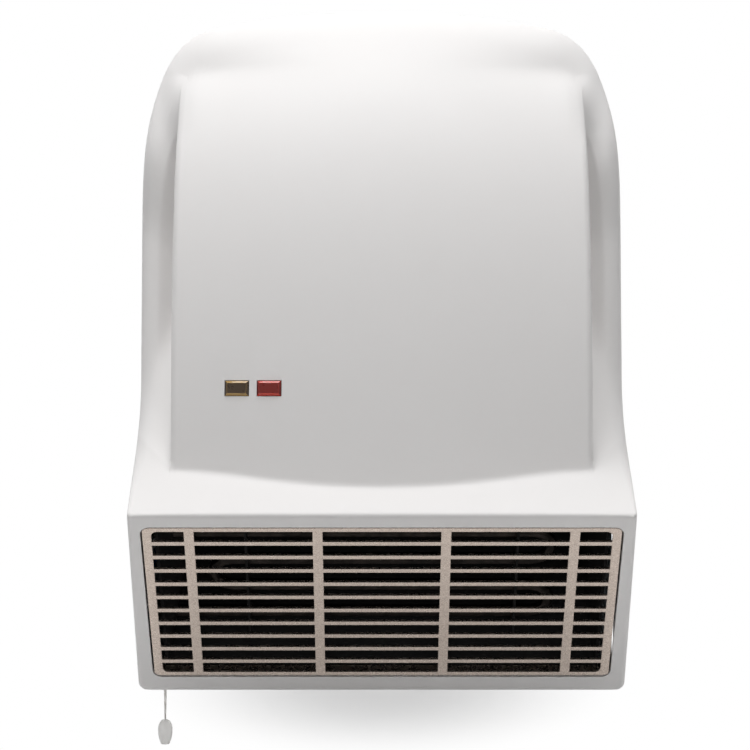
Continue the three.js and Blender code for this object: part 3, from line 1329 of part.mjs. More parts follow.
// The collar that guides the cord through the casing's underside.
function makeCordBush() {
  const underFace = underside(CORD_DEPTH) - BUSH_LIFT - CLEARANCE;
  const top = BUSH_SEAT + BUSH_RING;
  const bush = join(
    cylinderZ(BUSH_FLANGE, underFace - 1.3, underFace, CORD_X, CORD_DEPTH, 20),
    cylinderZ(BUSH_RADIUS, underFace - 0.5, top, CORD_X, CORD_DEPTH, 20),
    cylinderZ(BUSH_RADIUS + 1.1, BUSH_SEAT, top, CORD_X, CORD_DEPTH, 20),
  );
  return cut(bush, cylinderZ(BUSH_BORE, underFace - 2, top + 1, CORD_X, CORD_DEPTH, 16));
}

function makeCord() {
  const down = vec(0, 0, -1);
  const steps = 12;
  const stations = Array.from({ length: steps + 1 }, (_, k) => {
    const z = mix(CORD_TOP, TOGGLE_TOP + CLEARANCE, k / steps);
    return { point: at(CORD_X, CORD_DEPTH, z), along: down };
  });
  return stationRod(stations, CORD_RADIUS, 8);
}

// An acorn: a round shoulder, its widest below it, and a flat foot.
function makeToggle() {
  const profile = [[0, 0], [1.3, 0.1], [2.6, 1], [3.5, 2.6], [TOGGLE_RADIUS, 5.2]]
    .concat([[TOGGLE_RADIUS * 0.97, 7.6], [TOGGLE_RADIUS * 0.82, 10.6], [TOGGLE_RADIUS * 0.6, TOGGLE_HEIGHT]])
    .concat([[0, TOGGLE_HEIGHT]])
    .map(([r, drop]) => new THREE.Vector2(r, TOGGLE_TOP - drop))
    .reverse();
  return new THREE.LatheGeometry(profile, 20).rotateX(Math.PI / 2).translate(CORD_X, -CORD_DEPTH, 0);
}

add("pull_switch", makeSwitchBody(), blackPlastic);
add("pull_plunger", makePlunger(), whitePlastic);
add("pull_spring", makeSpring(), darkSteel);
add("cord_bush", makeCordBush(), whitePlastic);
add("pull_cord", makeCord(), cordNylon);
add("cord_toggle", makeToggle(), whitePlastic);

// ---------------------------------------------------------------- terminals, clamp and inner leads

const TERMINAL_HALF = (TERMINAL_WAYS * TERMINAL_PITCH) / 2;
const TERMINAL_BOTTOM = TERMINAL_Z - TERMINAL_HEIGHT / 2;
const TERMINAL_FRONT = SEAT + TERMINAL_DEPTH;
const BARREL_RADIUS = 2.6;
const BARREL_BORE = 1.6;
const BARREL_DEPTH = SEAT + 6;
const TERMINAL_SCREW = 1.4;
const TERMINAL_TOP = TERMINAL_BOTTOM + TERMINAL_HEIGHT;
const TERMINAL_LEFT = TERMINAL_X - TERMINAL_HALF;
const terminalWays = Array.from(
  { length: TERMINAL_WAYS },
  (_, k) => TERMINAL_LEFT + (k + 0.5) * TERMINAL_PITCH,
);

function makeTerminalBlock() {
  const right = TERMINAL_X + TERMINAL_HALF;
  const block = box(TERMINAL_LEFT, right, SEAT, TERMINAL_FRONT, TERMINAL_BOTTOM, TERMINAL_TOP);
  const [barrel, shank] = [BARREL_RADIUS + CLEARANCE, TERMINAL_SCREW + 2 * CLEARANCE];
  const tools = terminalWays.flatMap((x) => [
    cylinderZ(barrel, TERMINAL_BOTTOM - 1, TERMINAL_TOP + 1, x, BARREL_DEPTH, 16),
    cylinderDepth(shank, BARREL_DEPTH, TERMINAL_FRONT + 1, x, TERMINAL_Z, 12),
  ]);
  return cut(block, ...tools);
}

function makeBarrel(x) {
  const half = TERMINAL_HEIGHT / 2 - 2;
  const body = cylinderZ(BARREL_RADIUS, TERMINAL_Z - half, TERMINAL_Z + half, x, BARREL_DEPTH, 14);
  const bore = cylinderZ(BARREL_BORE, TERMINAL_Z - half - 1, TERMINAL_Z + half + 1, x, BARREL_DEPTH, 12);
  const tapped = TERMINAL_SCREW + CLEARANCE;
  return cut(body, bore, cylinderDepth(tapped, BARREL_DEPTH, TERMINAL_FRONT, x, TERMINAL_Z, 12));
}

const makeTerminalScrew = (x) =>
  cylinderDepth(TERMINAL_SCREW, BARREL_DEPTH + 0.9, TERMINAL_FRONT - 1.5, x, TERMINAL_Z, 10);

function makeClamp() {
  const bar = box(
    TERMINAL_X - CLAMP_LENGTH / 2,
    TERMINAL_X + CLAMP_LENGTH / 2,
    CLAMP_DEPTH,
    CLAMP_DEPTH + CLAMP_THICKNESS,
    CLAMP_Z - CLAMP_BAR / 2,
    CLAMP_Z + CLAMP_BAR / 2,
  );
  const past = CLAMP_DEPTH + CLAMP_THICKNESS + 1;
  const saddle = cylinderZ(4.2, CLAMP_Z - CLAMP_BAR, CLAMP_Z + CLAMP_BAR, TERMINAL_X, CLAMP_DEPTH - 1.6, 20);
  const holes = [-CLAMP_SCREW_X, CLAMP_SCREW_X].map((x) =>
    cylinderDepth(SCREW_RADIUS + CLEARANCE, CLAMP_DEPTH - 1, past, TERMINAL_X + x, CLAMP_Z, 12),
  );
  return cut(bar, saddle, ...holes);
}

function makeClampScrew(x) {
  const headBase = CLAMP_DEPTH + CLAMP_THICKNESS + CLEARANCE;
  const length = headBase - PLATE_THICKNESS + 1;
  const geometry = screw(SCREW_RADIUS, length, SCREW_HEAD, 1.8);
  return geometry.rotateX(Math.PI).translate(TERMINAL_X + x, -headBase + length, CLAMP_Z);
}

// A place beside the left wall of the casing.
const fromLeft = (inset) => inset - HALF_WIDTH;

// A lead along hand-placed points, each [x, d, z].
function lead(points) {
  const curve = new THREE.CatmullRomCurve3(points.map(([x, d, z]) => at(x, d, z)));
  return rod(curve, LEAD_RADIUS, 14, 6);
}

const leadStart = TERMINAL_BOTTOM - 1;
const elementEnd = (s) => {
  const p = onOutlet(ELEMENT_END_X - LEAD_GAP, s, -ELEMENT_BEHIND);
  return [p.x, -p.y, p.z];
};
const [firstX, firstD, firstZ] = elementEnd(ELEMENT_FIRST);
const [lastX, lastD, lastZ] = elementEnd(ELEMENT_LAST);

add("terminal_block", makeTerminalBlock(), whitePlastic);
terminalWays.forEach((x, k) => add(`terminal_barrel_${k + 1}`, makeBarrel(x), brass));
terminalWays.forEach((x, k) => add(`terminal_screw_${k + 1}`, makeTerminalScrew(x), darkSteel));
add("cable_clamp", makeClamp(), whitePlastic);
add("clamp_screw_left", makeClampScrew(-CLAMP_SCREW_X), darkSteel);
add("clamp_screw_right", makeClampScrew(CLAMP_SCREW_X), darkSteel);
add(
  "lead_live",
  lead([
    [terminalWays[0], BARREL_DEPTH, leadStart],
    [terminalWays[0] - 3, 11, 62],
    [fromLeft(35.7), 12, 54],
    [fromLeft(30.7), 13, -20],
    [fromLeft(25.7), 13, -90],
    [CORD_X - 4, 12, BODY_TOP + 14],
    [CORD_X - 4, 12, BODY_TOP + CLEARANCE],
  ]),
  leadBrown,
);
add(
  "lead_switched",
  lead([
    [CORD_X + 5, 18, BODY_TOP + CLEARANCE],
    [CORD_X + 6, 18, BODY_TOP + 14],
    [fromLeft(30.7), 22, -60],
    [fromLeft(36.7), 24, -24],
    [fromLeft(30.7), CUTOUT_DEPTH - 16, -12],
    [CUTOUT_OUTER - 5, CUTOUT_DEPTH - 4, CUTOUT_Z + 1],
    [CUTOUT_OUTER - LEAD_GAP, CUTOUT_DEPTH - 3, CUTOUT_Z + 1],
  ]),
  leadWhite,
);
add(
  "lead_element",
  lead([
    [CUTOUT_OUTER - LEAD_GAP, CUTOUT_DEPTH + 3, CUTOUT_Z - 3],
    [CUTOUT_OUTER - 4, CUTOUT_DEPTH + 4, CUTOUT_Z - 6],
    [fromLeft(29.2), 78, LIP_HEIGHT + 45],
    [fromLeft(27.7), 82, LIP_HEIGHT + 23],
    [fromLeft(18.7), 90, LIP_HEIGHT + 3],
    [firstX - 4, firstD - 3, firstZ + 6],
    [firstX - 2, firstD, firstZ],
    [firstX, firstD, firstZ],
  ]),
  leadWhite,
);
add(
  "lead_neutral",
  lead([
    [terminalWays[1], BARREL_DEPTH, leadStart],
    [terminalWays[1] - 6, 19, 66],
    [fromLeft(33.7), 20, 52],
    [fromLeft(14.7), 18, 0],
    [fromLeft(11.7), 22, -60],
    [fromLeft(10.2), 40, LIP_HEIGHT - 26],
    [lastX - 4.5, lastD - 5, lastZ + 9],
    [lastX - 2, lastD, lastZ],
    [lastX, lastD, lastZ],
  ]),
  leadBlue,
);
add(
  "lead_motor",
  lead([
    [terminalWays[2], BARREL_DEPTH, leadStart],
    [terminalWays[2] + 6, 12, 64],
    [0, 12, 58],
    [MOTOR_START - 12, 16, 56],
    [MOTOR_START + 6, 28, STACK_TOP + 6],
    [MOTOR_START + 9, FAN_DEPTH - COIL_HALF_WIDTH, STACK_TOP + 6],
  ]),
  leadBlue,
);

export default heater;
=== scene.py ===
"""A bathroom wall fan heater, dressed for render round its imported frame."""

import math
from contextlib import contextmanager

import bmesh
import bpy
import numpy as np
from bpy.props import FloatProperty, FloatVectorProperty, IntProperty, PointerProperty
from mathutils import Matrix, Vector


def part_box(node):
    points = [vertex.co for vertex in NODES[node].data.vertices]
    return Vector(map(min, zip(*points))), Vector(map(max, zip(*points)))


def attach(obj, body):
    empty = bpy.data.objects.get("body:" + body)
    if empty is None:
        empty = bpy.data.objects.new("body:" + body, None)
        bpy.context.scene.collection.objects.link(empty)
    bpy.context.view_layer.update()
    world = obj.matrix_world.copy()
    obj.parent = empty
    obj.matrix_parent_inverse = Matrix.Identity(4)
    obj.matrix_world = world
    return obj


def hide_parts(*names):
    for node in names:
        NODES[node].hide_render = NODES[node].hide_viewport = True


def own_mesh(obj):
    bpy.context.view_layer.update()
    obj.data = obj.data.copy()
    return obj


bl_info = {
    "name": "Bathroom Fan Heater",
    "version": (1, 0, 0),
    "blender": (4, 5, 0),
    "location": "3D View > Sidebar > Heater",
    "description": "Models the pieces of a pull-cord wall fan heater",
    "category": "Object",
}

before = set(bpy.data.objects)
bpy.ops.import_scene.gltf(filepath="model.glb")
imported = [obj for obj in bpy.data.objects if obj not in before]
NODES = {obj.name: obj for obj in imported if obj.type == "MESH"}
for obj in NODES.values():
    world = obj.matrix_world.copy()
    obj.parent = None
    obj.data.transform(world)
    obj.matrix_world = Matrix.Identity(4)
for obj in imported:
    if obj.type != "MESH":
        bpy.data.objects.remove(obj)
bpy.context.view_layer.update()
MM = 0.001

# ------------------------------ sizes, in millimetres

# Outline of the casing on the wall
TOP = 186.5
BOTTOM = -186.5
HALF_WIDTH = 131.7
TOP_RADIUS = 440.0
ARCH_HALF = 94.4
CORNER_DROP = 140.8
CORNER_PULL_TOP = 34.6
CORNER_PULL_SIDE = 67.2
BOTTOM_CORNER = 6.0
BOTTOM_CORNER_STEPS = 6
SIDE_DRAFT = 0.0283
WALL = 2.5

# Front panel and the channels beside it
PANEL_HALF = 108.6
PANEL_EDGE_RADIUS = 3.5
PANEL_FOOT_RADIUS = 3.5
PANEL_SIDE_LEAN = 0.3
PANEL_BOTTOM_DEPTH = 107.0
PANEL_BULGE = 14.0
PANEL_START = 148.0
PANEL_FADE = 100.0  # from here up its sides fade into the dome
FADE_INSIDE = 9.0
FADE_OUTSIDE = 12.0
CHANNEL_DEPTH = 42.0
SHOULDER_SWELL = 8.0
SCOOP_DEPTH = 7.0
SCOOP_WIDTH = 13.0
SWEEP_POWER = 2.2
EDGE_BLEND = 10.0
CREASE_BLEND = 2.0

# Hood over the outlet
LIP_DEPTH = 138.0
LIP_HEIGHT = BOTTOM + 100.75
LIP_RADIUS = 5.0
OUTLET_SLOPE = 0.898
CREASE_CENTRE = LIP_HEIGHT + 13
CREASE_CORNER = LIP_HEIGHT + 22.3
CREASE_SIDE_SLOPE = 0.8
SHELF_SLOPE = 1.45
SHELF_END_SLOPE = 0.77  # added to the slope towards the shelf's ends
SHELF_END = 129.0
SHELF_HOLLOW = 0.0108

# Rim
RIM_TOP = 18.0
RIM_SIDE = 9.0
RIM_HOOD = 2.5
RIM_WALL = 2.0

# Outlet and grille
OUTLET_HALF_WIDTH = 122.0
OUTLET_TOP_BORDER = 9.0
OUTLET_BOTTOM_BORDER = 12.7
OUTLET_CORNER = 5.0
GRILLE_GAP = 1.0
GRILLE_RECESS = 0.4

# Indicators
LENS_Z = LIP_HEIGHT + 63.25
LENS_AMBER_X = -74.1
LENS_RED_X = -57.5
LENS_LENGTH = 12.0
LENS_PROUD = 1.0
LENS_GAP = 0.3
LENS_ROUNDING = 0.12

# Inlet slots, in a row across the top
INLET_COUNT = 7
INLET_HALF_LENGTH = 9.5
INLET_SPACING = 25.0
INLET_NEAR = 4.7
INLET_FAR = 8.3
INLET_ROUNDING = 1.79

# Cord
CORD_X = -118.3
CORD_DEPTH = 24.0
SPRING_WIRE = 0.5  # its radius
SPRING_TURNS = 5
STRAND_STEPS = 48
TOGGLE_RADIUS = 4.0
TOGGLE_PROFILE = ((0, 1.5), (0.35, 2.1), (1.0, 2.75), (2.6, 3.55), (5.2, 3.98), (7.6, 3.86), (10.6, 3.25))

# Holes in the casing's underside: x, depth and radius
UNDERSIDE_HOLES = ((CORD_X, CORD_DEPTH, 3.2), (-70, 12, 1.8), (70, 12, 1.8))

# Stage, in metres and watts
WHITE = (1, 1, 1, 1)
PAPER_LIFT = 0.45  # glow that brings the lit paper up to white
SHEETS = (
    # name, place, turn about X, reach
    ("pale_floor", (0, -0.07, -0.235), 0, (0.5, 0.5, 1)),
    ("pale_wall", (0, 0.003, BOTTOM * MM), math.pi / 2, (0.14, 0.045, 1)),
)
LAMPS = (
    # name, place, power, spread, aim
    ("key_above", (-0.12, -0.7, 1.92), 38.0, 1.3, (0, -0.07, 0.0)),
    ("fill_below", (0, -1.0, -1.4), 3.0, 1.2, (0, -0.07, -0.05)),
    ("light_behind", (0.5, 1.5, 1.0), 12.0, 1.2, (0, 0, 0)),
)
WORLD_LIGHT = 0.06
CAMERA_PLACE = (-0.0035, -1.338, -0.01575)
CAMERA_LENS = 115.2
CAMERA_SENSOR = 36


# ------------------------------ small tools


def linear(code):
    """The linear colour of an sRGB hex value."""
    channels = [int(code[i : i + 2], 16) / 255 for i in (1, 3, 5)]
    return tuple(c / 12.92 if c <= 0.04045 else ((c + 0.055) / 1.055) ** 2.4 for c in channels) + (1.0,)


def clear_selection():
    if bpy.context.object and bpy.context.object.mode != "OBJECT":
        bpy.ops.object.mode_set(mode="OBJECT")
    bpy.ops.object.select_all(action="DESELECT")


def pick(obj):
    """Makes obj the one selected and active object."""
    clear_selection()
    obj.select_set(True)
    bpy.context.view_layer.objects.active = obj


@contextmanager
def editing(obj):
    """Makes obj active and holds it in edit mode."""
    pick(obj)
    bpy.ops.object.mode_set(mode="EDIT")
    yield
    bpy.ops.object.mode_set(mode="OBJECT")


def settle(obj):
    """Puts the object's place, turn and size into its mesh."""
    pick(obj)
    bpy.ops.object.transform_apply(location=True, rotation=True, scale=True)


def apply_modifier(obj, kind, **settings):
    pick(obj)
    modifier = obj.modifiers.new(kind.title(), kind)
    for name, value in settings.items():
        setattr(modifier, name, value)
    bpy.ops.object.modifier_apply(modifier=modifier.name)


def carve(obj, *tools):
    """Cuts each tool out of obj, then deletes it."""
    for tool in tools:
        apply_modifier(obj, "BOOLEAN", operation="DIFFERENCE", solver="EXACT", object=tool)
        bpy.data.objects.remove(tool, do_unlink=True)


def select_where(obj, test, kind="FACE"):
    """Selects, in edit mode, the faces or edges that the test accepts."""
    mesh = bmesh.from_edit_mesh(obj.data)
    bpy.ops.mesh.select_all(action="DESELECT")
    bpy.ops.mesh.select_mode(type=kind)
    for part in mesh.faces if kind == "FACE" else mesh.edges:
        part.select = test(part)
    mesh.select_flush_mode()
    bmesh.update_edit_mesh(obj.data)


def is_upright(edge):
    return abs((edge.verts[0].co - edge.verts[1].co).z) > 1e-4


def round_uprights(obj, radius, segments):
    """Rounds the edges that run along the object's own Z, in millimetres."""
    with editing(obj):
        select_where(obj, is_upright, "EDGE")
        bpy.ops.mesh.bevel(offset=radius * MM, segments=segments, affect="EDGES")


def round_sharp(obj, width, segments, degrees):
    """Bevels, in millimetres, the edges that turn by more than this angle."""
    limit = math.radians(degrees)
    apply_modifier(obj, "BEVEL", width=width * MM, segments=segments, limit_method="ANGLE", angle_limit=limit)


def smooth(obj, degrees):
    pick(obj)
    bpy.ops.object.shade_smooth_by_angle(angle=math.radians(degrees))


def finished(obj, name, body, material, slot, *replaced):
    """Names a piece, paints it and makes it ride on its body."""
    obj.name = name
    obj.data.name = name
    if not obj.data.materials:
        obj.data.materials.append(material)
    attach(obj, body)
    if replaced:
        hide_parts(*replaced)
    return obj


def new_box(x0, x1, y0, y1, z0, z1):
    """A cube primitive with these faces, in millimetres."""
    clear_selection()
    bpy.ops.mesh.primitive_cube_add(
        size=1, location=((x0 + x1) / 2 * MM, (y0 + y1) / 2 * MM, (z0 + z1) / 2 * MM)
    )
    obj = bpy.context.object
    obj.scale = ((x1 - x0) * MM, (y1 - y0) * MM, (z1 - z0) * MM)
    settle(obj)
    return obj


def linked(name, data):
    """A new object in the scene that holds this data."""
    obj = bpy.data.objects.new(name, data)
    bpy.context.scene.collection.objects.link(obj)
    return obj


def face_outwards():
    """Turns every face of the mesh in edit mode outwards."""
    bpy.ops.mesh.select_all(action="SELECT")
    bpy.ops.mesh.normals_make_consistent(inside=False)


def mesh_object(name, vertices, faces):
    mesh = bpy.data.meshes.new(name)
    mesh.from_pydata(vertices, [], faces)
    mesh.validate()
    obj = linked(name, mesh)
    with editing(obj):
        bpy.ops.mesh.select_all(action="SELECT")
        bpy.ops.mesh.remove_doubles(threshold=1e-6)
        face_outwards()
    return obj


# ------------------------------ materials


def add_node(tree, kind, inputs=None, **settings):
    """Adds a node; an input is a value or another node's output."""
    node = tree.nodes.new(kind)
    for name, value in settings.items():
        setattr(node, name, value)
    for name, value in (inputs or {}).items():
        if isinstance(value, bpy.types.NodeSocket):
            tree.links.new(value, node.inputs[name])
        else:
            node.inputs[name].default_value = value
    return node


def new_material(name, colour, roughness, metallic=0.0, **shader):
    """A principled material, its tree, its shader and its coordinates; shader holds more of its values."""
    material = bpy.data.materials.new(name)
    material.use_nodes = True
    tree = material.node_tree
    tree.nodes.clear()
    values = {"Base Color": linear(colour), "Roughness": roughness, "Metallic": metallic}
    values.update(shader)
    bsdf = add_node(tree, "ShaderNodeBsdfPrincipled", values)
    add_node(tree, "ShaderNodeOutputMaterial", {"Surface": bsdf.outputs[0]})
    place = add_node(tree, "ShaderNodeTexCoord").outputs["Object"]
    return material, tree, bsdf, place


def per_metre(millimetres):
    """Texture scale whose features are this far apart."""
    return 1000.0 / millimetres


def noise(tree, place, size, detail=3.0, rough=0.5):
    inputs = {"Vector": place, "Scale": per_metre(size), "Detail": detail, "Roughness": rough}
    return add_node(tree, "ShaderNodeTexNoise", inputs).outputs["Fac"]


def bump(tree, bsdf, height, distance, strength=0.3):
    """Bump of this real height in millimetres."""
    inputs = {"Height": height, "Distance": distance * MM, "Strength": strength}
    node = add_node(tree, "ShaderNodeBump", inputs)
    tree.links.new(node.outputs[0], bsdf.inputs["Normal"])


def blend_colours(tree, bsdf, factor, low, high, start=0.35, end=0.65):
    ramp = add_node(tree, "ShaderNodeValToRGB", {"Fac": factor})
    first, last = ramp.color_ramp.elements
    first.position, first.color = start, linear(low)
    last.position, last.color = end, linear(high)
    tree.links.new(ramp.outputs[0], bsdf.inputs["Base Color"])


def vary(tree, bsdf, factor, socket, low, high):
    inputs = {"Value": factor, "From Min": 0.3, "From Max": 0.7, "To Min": low, "To Max": high}
    node = add_node(tree, "ShaderNodeMapRange", inputs)
    tree.links.new(node.outputs[0], bsdf.inputs[socket])


def gloss_moulding(look):
    """Injection-moulded ABS: a soft gloss, with a faint slow waviness."""
    material, tree, bsdf, place = new_material("gloss_moulded_abs", "#f4f2f1", look.roughness, IOR=1.53)
    bsdf.inputs["Base Color"].default_value = (*look.colour, 1)
    bsdf.inputs["Specular IOR Level"].default_value = 0.3
    waves = noise(tree, place, 55, 1.0)
    vary(tree, bsdf, waves, "Roughness", look.roughness - 0.02, look.roughness + 0.03)
    bump(tree, bsdf, noise(tree, place, 35, 0.0), 0.03, 0.12)
    return material


def satin_grille():
    """Die-cast zinc with a satin champagne lacquer, with a fine grain."""
    material, tree, bsdf, place = new_material("satin_lacquered_zinc", "#b5a69b", 0.28, 0.85)
    grain = noise(tree, place, 0.6, rough=0.6)  # coarser than the real grit, so that it shows
    blend_colours(tree, bsdf, grain, "#b0a298", "#cbbeb3")
    ripple = noise(tree, place, 3.0)  # the cast skin isn't flat, which breaks up the highlights
    vary(tree, bsdf, ripple, "Roughness", 0.2, 0.36)
    bump(tree, bsdf, ripple, 0.05, 0.18)
    return material


def zinc_sheet():
    """Hot-dipped zinc on steel sheet: a faint patchwork of crystals a few millimetres across."""
    material, tree, bsdf, place = new_material("galvanised_sheet", "#a9adb0", 0.42, 0.9)
    cells = add_node(tree, "ShaderNodeTexVoronoi", {"Vector": place, "Scale": per_metre(7)})
    blend_colours(tree, bsdf, cells.outputs["Color"], "#a3a7aa", "#b6babc", 0.2, 0.8)
    vary(tree, bsdf, noise(tree, place, 5.0), "Roughness", 0.34, 0.5)
    bump(tree, bsdf, noise(tree, place, 1.5), 0.03, 0.3)
    return material


def duct_painted_shade():
    """Heat-proof sheet inside the outlet: matt, and coloured nearly black as painted shade for the dark
    inside of the outlet.
    """
    material, tree, bsdf, place = new_material("duct_sheet_painted_shade", "#0b0a0a", 0.7)
    # the near-black tones are painted shade, varied at random across the sheet
    blend_colours(tree, bsdf, noise(tree, place, 18), "#080808", "#100f0f")
    bump(tree, bsdf, noise(tree, place, 1.2), 0.04, 0.3)
    bsdf.inputs["Specular IOR Level"].default_value = 0.15
    return material


def dark_steel(name="oiled_dark_steel", colour="#55585c", low="#46494c", high="#62666a"):
    """Oiled or heat-darkened steel: dull, with cloudy colour."""
    material, tree, bsdf, place = new_material(name, colour, 0.38, 0.9)
    blend_colours(tree, bsdf, noise(tree, place, 6.0), low, high)
    vary(tree, bsdf, noise(tree, place, 2.5), "Roughness", 0.3, 0.48)
    bump(tree, bsdf, noise(tree, place, 0.7), 0.02, 0.3)
    return material


def element_sheath_painted_shade():
    """Steel sheath of a tubular element, darkened nearly to black as painted shade for the dark inside of the
    outlet.
    """
    return dark_steel("steel_sheath_painted_shade", "#211d1a", "#151210", "#2b2623")


def matt_plastic(name, low, high, roughness):
    """Spark-eroded moulding: a fine matt grain under half a millimetre."""
    material, tree, bsdf, place = new_material(name, high, roughness, IOR=1.5)
    blend_colours(tree, bsdf, noise(tree, place, 9.0), low, high)
    bump(tree, bsdf, noise(tree, place, 0.45, 2.0), 0.03, 0.35)
    return material


def soft_rubber():
    """Moulded black rubber: dull, with dusty cloudiness."""
    return matt_plastic("moulded_rubber", "#232324", "#333335", 0.75)


def wound_copper():
    """Enamelled copper wire in layers, one wire every 0.8 mm."""
    material, tree, bsdf, place = new_material("enamelled_copper_winding", "#a0522d", 0.35, 0.85)
    wires = add_node(
        tree,
        "ShaderNodeTexWave",
        {"Vector": place, "Scale": per_metre(0.8) / 20, "Distortion": 0.3},
        bands_direction="Z",
    )
    blend_colours(tree, bsdf, wires.outputs["Fac"], "#7c3a1c", "#c07046", 0.2, 0.8)
    bump(tree, bsdf, wires.outputs["Fac"], 0.3, 0.6)
    return material


def turned_brass():
    """Drawn brass, turned: yellow, with a light tarnish."""
    material, tree, bsdf, place = new_material("turned_brass", "#b89a4e", 0.3, 1.0)
    blend_colours(tree, bsdf, noise(tree, place, 4.0), "#a58641", "#cbb06a")
    bump(tree, bsdf, noise(tree, place, 0.5), 0.02, 0.25)
    return material


def lamp_glass():
    """Clear blown glass of the neon lamps, faintly streaked."""
    material, tree, bsdf, place = new_material(
        "clear_lamp_glass", "#e9e2d8", 0.05, IOR=1.5, **{"Transmission Weight": 0.9}
    )
    bump(tree, bsdf, noise(tree, place, 2.0), 0.02, 0.2)
    return material


def lens_plastic(name, colour, roughness, clearness):
    """Dyed polycarbonate: glossy; clearness is how far light goes through it. The lenses use a light copy as
    painted highlight and a dark copy as painted shade.
    """
    shader = {"Transmission Weight": clearness, "Coat Weight": clearness, "Specular IOR Level": 0.3}
    material, tree, bsdf, place = new_material(name, colour, roughness, IOR=1.58, **shader)
    vary(tree, bsdf, noise(tree, place, 2.0), "Roughness", roughness * 0.8, roughness * 1.4)
    bump(tree, bsdf, noise(tree, place, 1.4), 0.03, 0.3)
    return material


def twisted_cord():
    """Spun nylon cord: soft sheen, and fine fibres along it, drawn coarse enough to show."""
    material, tree, bsdf, place = new_material(
        "spun_nylon_cord", "#f0efec", 0.6, IOR=1.2, **{"Transmission Weight": 0.6}
    )
    fibres = add_node(
        tree,
        "ShaderNodeTexWave",
        {"Vector": place, "Scale": per_metre(0.5) / 20, "Distortion": 2.0, "Detail": 2.0},
        bands_direction="DIAGONAL",
    )
    blend_colours(tree, bsdf, fibres.outputs["Fac"], "#dedcd8", "#f6f5f3", 0.2, 0.8)
    bump(tree, bsdf, fibres.outputs["Fac"], 0.08, 0.5)
    return material


def milky_nylon():
    """Moulded natural nylon, which lets light through like milk glass."""
    material, tree, bsdf, place = new_material(
        "milky_moulded_nylon", "#f1f0ee", 0.5, IOR=1.2, **{"Transmission Weight": 0.6}
    )
    blend_colours(tree, bsdf, noise(tree, place, 6.0), "#eae9e7", "#f5f4f2")
    bump(tree, bsdf, noise(tree, place, 0.8, 2.0), 0.02, 0.2)
    return material


def pvc_lead(name, low, high):
    """Extruded PVC insulation: smooth, with a soft shine."""
    material, tree, bsdf, place = new_material(name, high, 0.4, IOR=1.53)
    blend_colours(tree, bsdf, noise(tree, place, 12.0), low, high)
    bump(tree, bsdf, noise(tree, place, 1.0), 0.02, 0.2)
    return material


def sight(tree):
    """One for the rays that show the background: camera, glossy and transmission rays."""
    rays = add_node(tree, "ShaderNodeLightPath").outputs
    seen = rays["Is Camera Ray"]
    for kind in ("Is Glossy Ray", "Is Transmission Ray"):
        seen = add_node(tree, "ShaderNodeMath", {0: seen, 1: rays[kind]}, operation="MAXIMUM").outputs[0]
    return seen


def backdrop_paper():
    """Matt white paper: it shows the object's shadow within one unit of its middle, and white beyond."""
    material, tree, bsdf, place = new_material("white_backdrop_paper", "#dadada", 0.9)
    blend_colours(tree, bsdf, noise(tree, place, 600, 1.0), "#d9d9d9", "#dcdcdc")
    white, lift = (
        add_node(tree, "ShaderNodeEmission", {"Color": WHITE, "Strength": glow}) for glow in (1.0, PAPER_LIFT)
    )
    lit = add_node(tree, "ShaderNodeAddShader", {0: bsdf.outputs[0], 1: lift.outputs[0]})
    nearness = add_node(tree, "ShaderNodeVectorMath", {0: place}, operation="LENGTH").outputs["Value"]
    inputs = {"Value": nearness, "From Min": 0.15, "From Max": 1.0}
    away = add_node(tree, "ShaderNodeMapRange", inputs, interpolation_type="SMOOTHSTEP")
    seen = add_node(tree, "ShaderNodeMixShader", {0: away.outputs[0], 1: lit.outputs[0], 2: white.outputs[0]})
    front = add_node(tree, "ShaderNodeMixShader", {0: sight(tree), 1: bsdf.outputs[0], 2: seen.outputs[0]})
    clear = add_node(tree, "ShaderNodeBsdfTransparent")
    back = add_node(tree, "ShaderNodeNewGeometry").outputs["Backfacing"]
    whole = add_node(tree, "ShaderNodeMixShader", {0: back, 1: front.outputs[0], 2: clear.outputs[0]})
    output = next(n for n in tree.nodes if n.type == "OUTPUT_MATERIAL")
    tree.links.new(whole.outputs[0], output.inputs[0])
    return material


# ------------------------------ the casing's shape


def bezier(p, t):
    """The point at t of the cubic curve with the control points p."""
    return (1 - t) ** 3 * p[0] + 3 * (1 - t) ** 2 * t * p[1] + 3 * (1 - t) * t * t * p[2] + t**3 * p[3]


def cubic(*points):
    """Points along a cubic curve, and the slopes that carry it on past its ends."""
    p = np.array(points, float)
    curve = bezier(p, np.linspace(0, 1, 1500)[:, None])
    before = (p[1][1] - p[0][1]) / (p[1][0] - p[0][0])
    after = (p[3][1] - p[2][1]) / (p[3][0] - p[2][0])
    return curve[:, 0], curve[:, 1], before, after


def depth_on(curve, z):
    heights, depths, before, after = curve
    inside = np.interp(-z, -heights, depths)
    above = depths[0] + (z - heights[0]) * before
    below = depths[-1] + (z - heights[-1]) * after
    return np.where(z > heights[0], above, np.where(z < heights[-1], below, inside))


def soft_min(a, b, k):
    h = np.maximum(k - np.abs(a - b), 0) / k
    return np.minimum(a, b) - h * h * k / 4


def soft_max(a, b, k):
    return -soft_min(-a, -b, k)


def smooth_step(start, end, value):
    t = np.clip((value - start) / (end - start), 0, 1)
    return t * t * (3 - 2 * t)


def quarter_drop(t):
    return 1 - np.sqrt(1 - np.clip(t, 0, 1) ** 2)


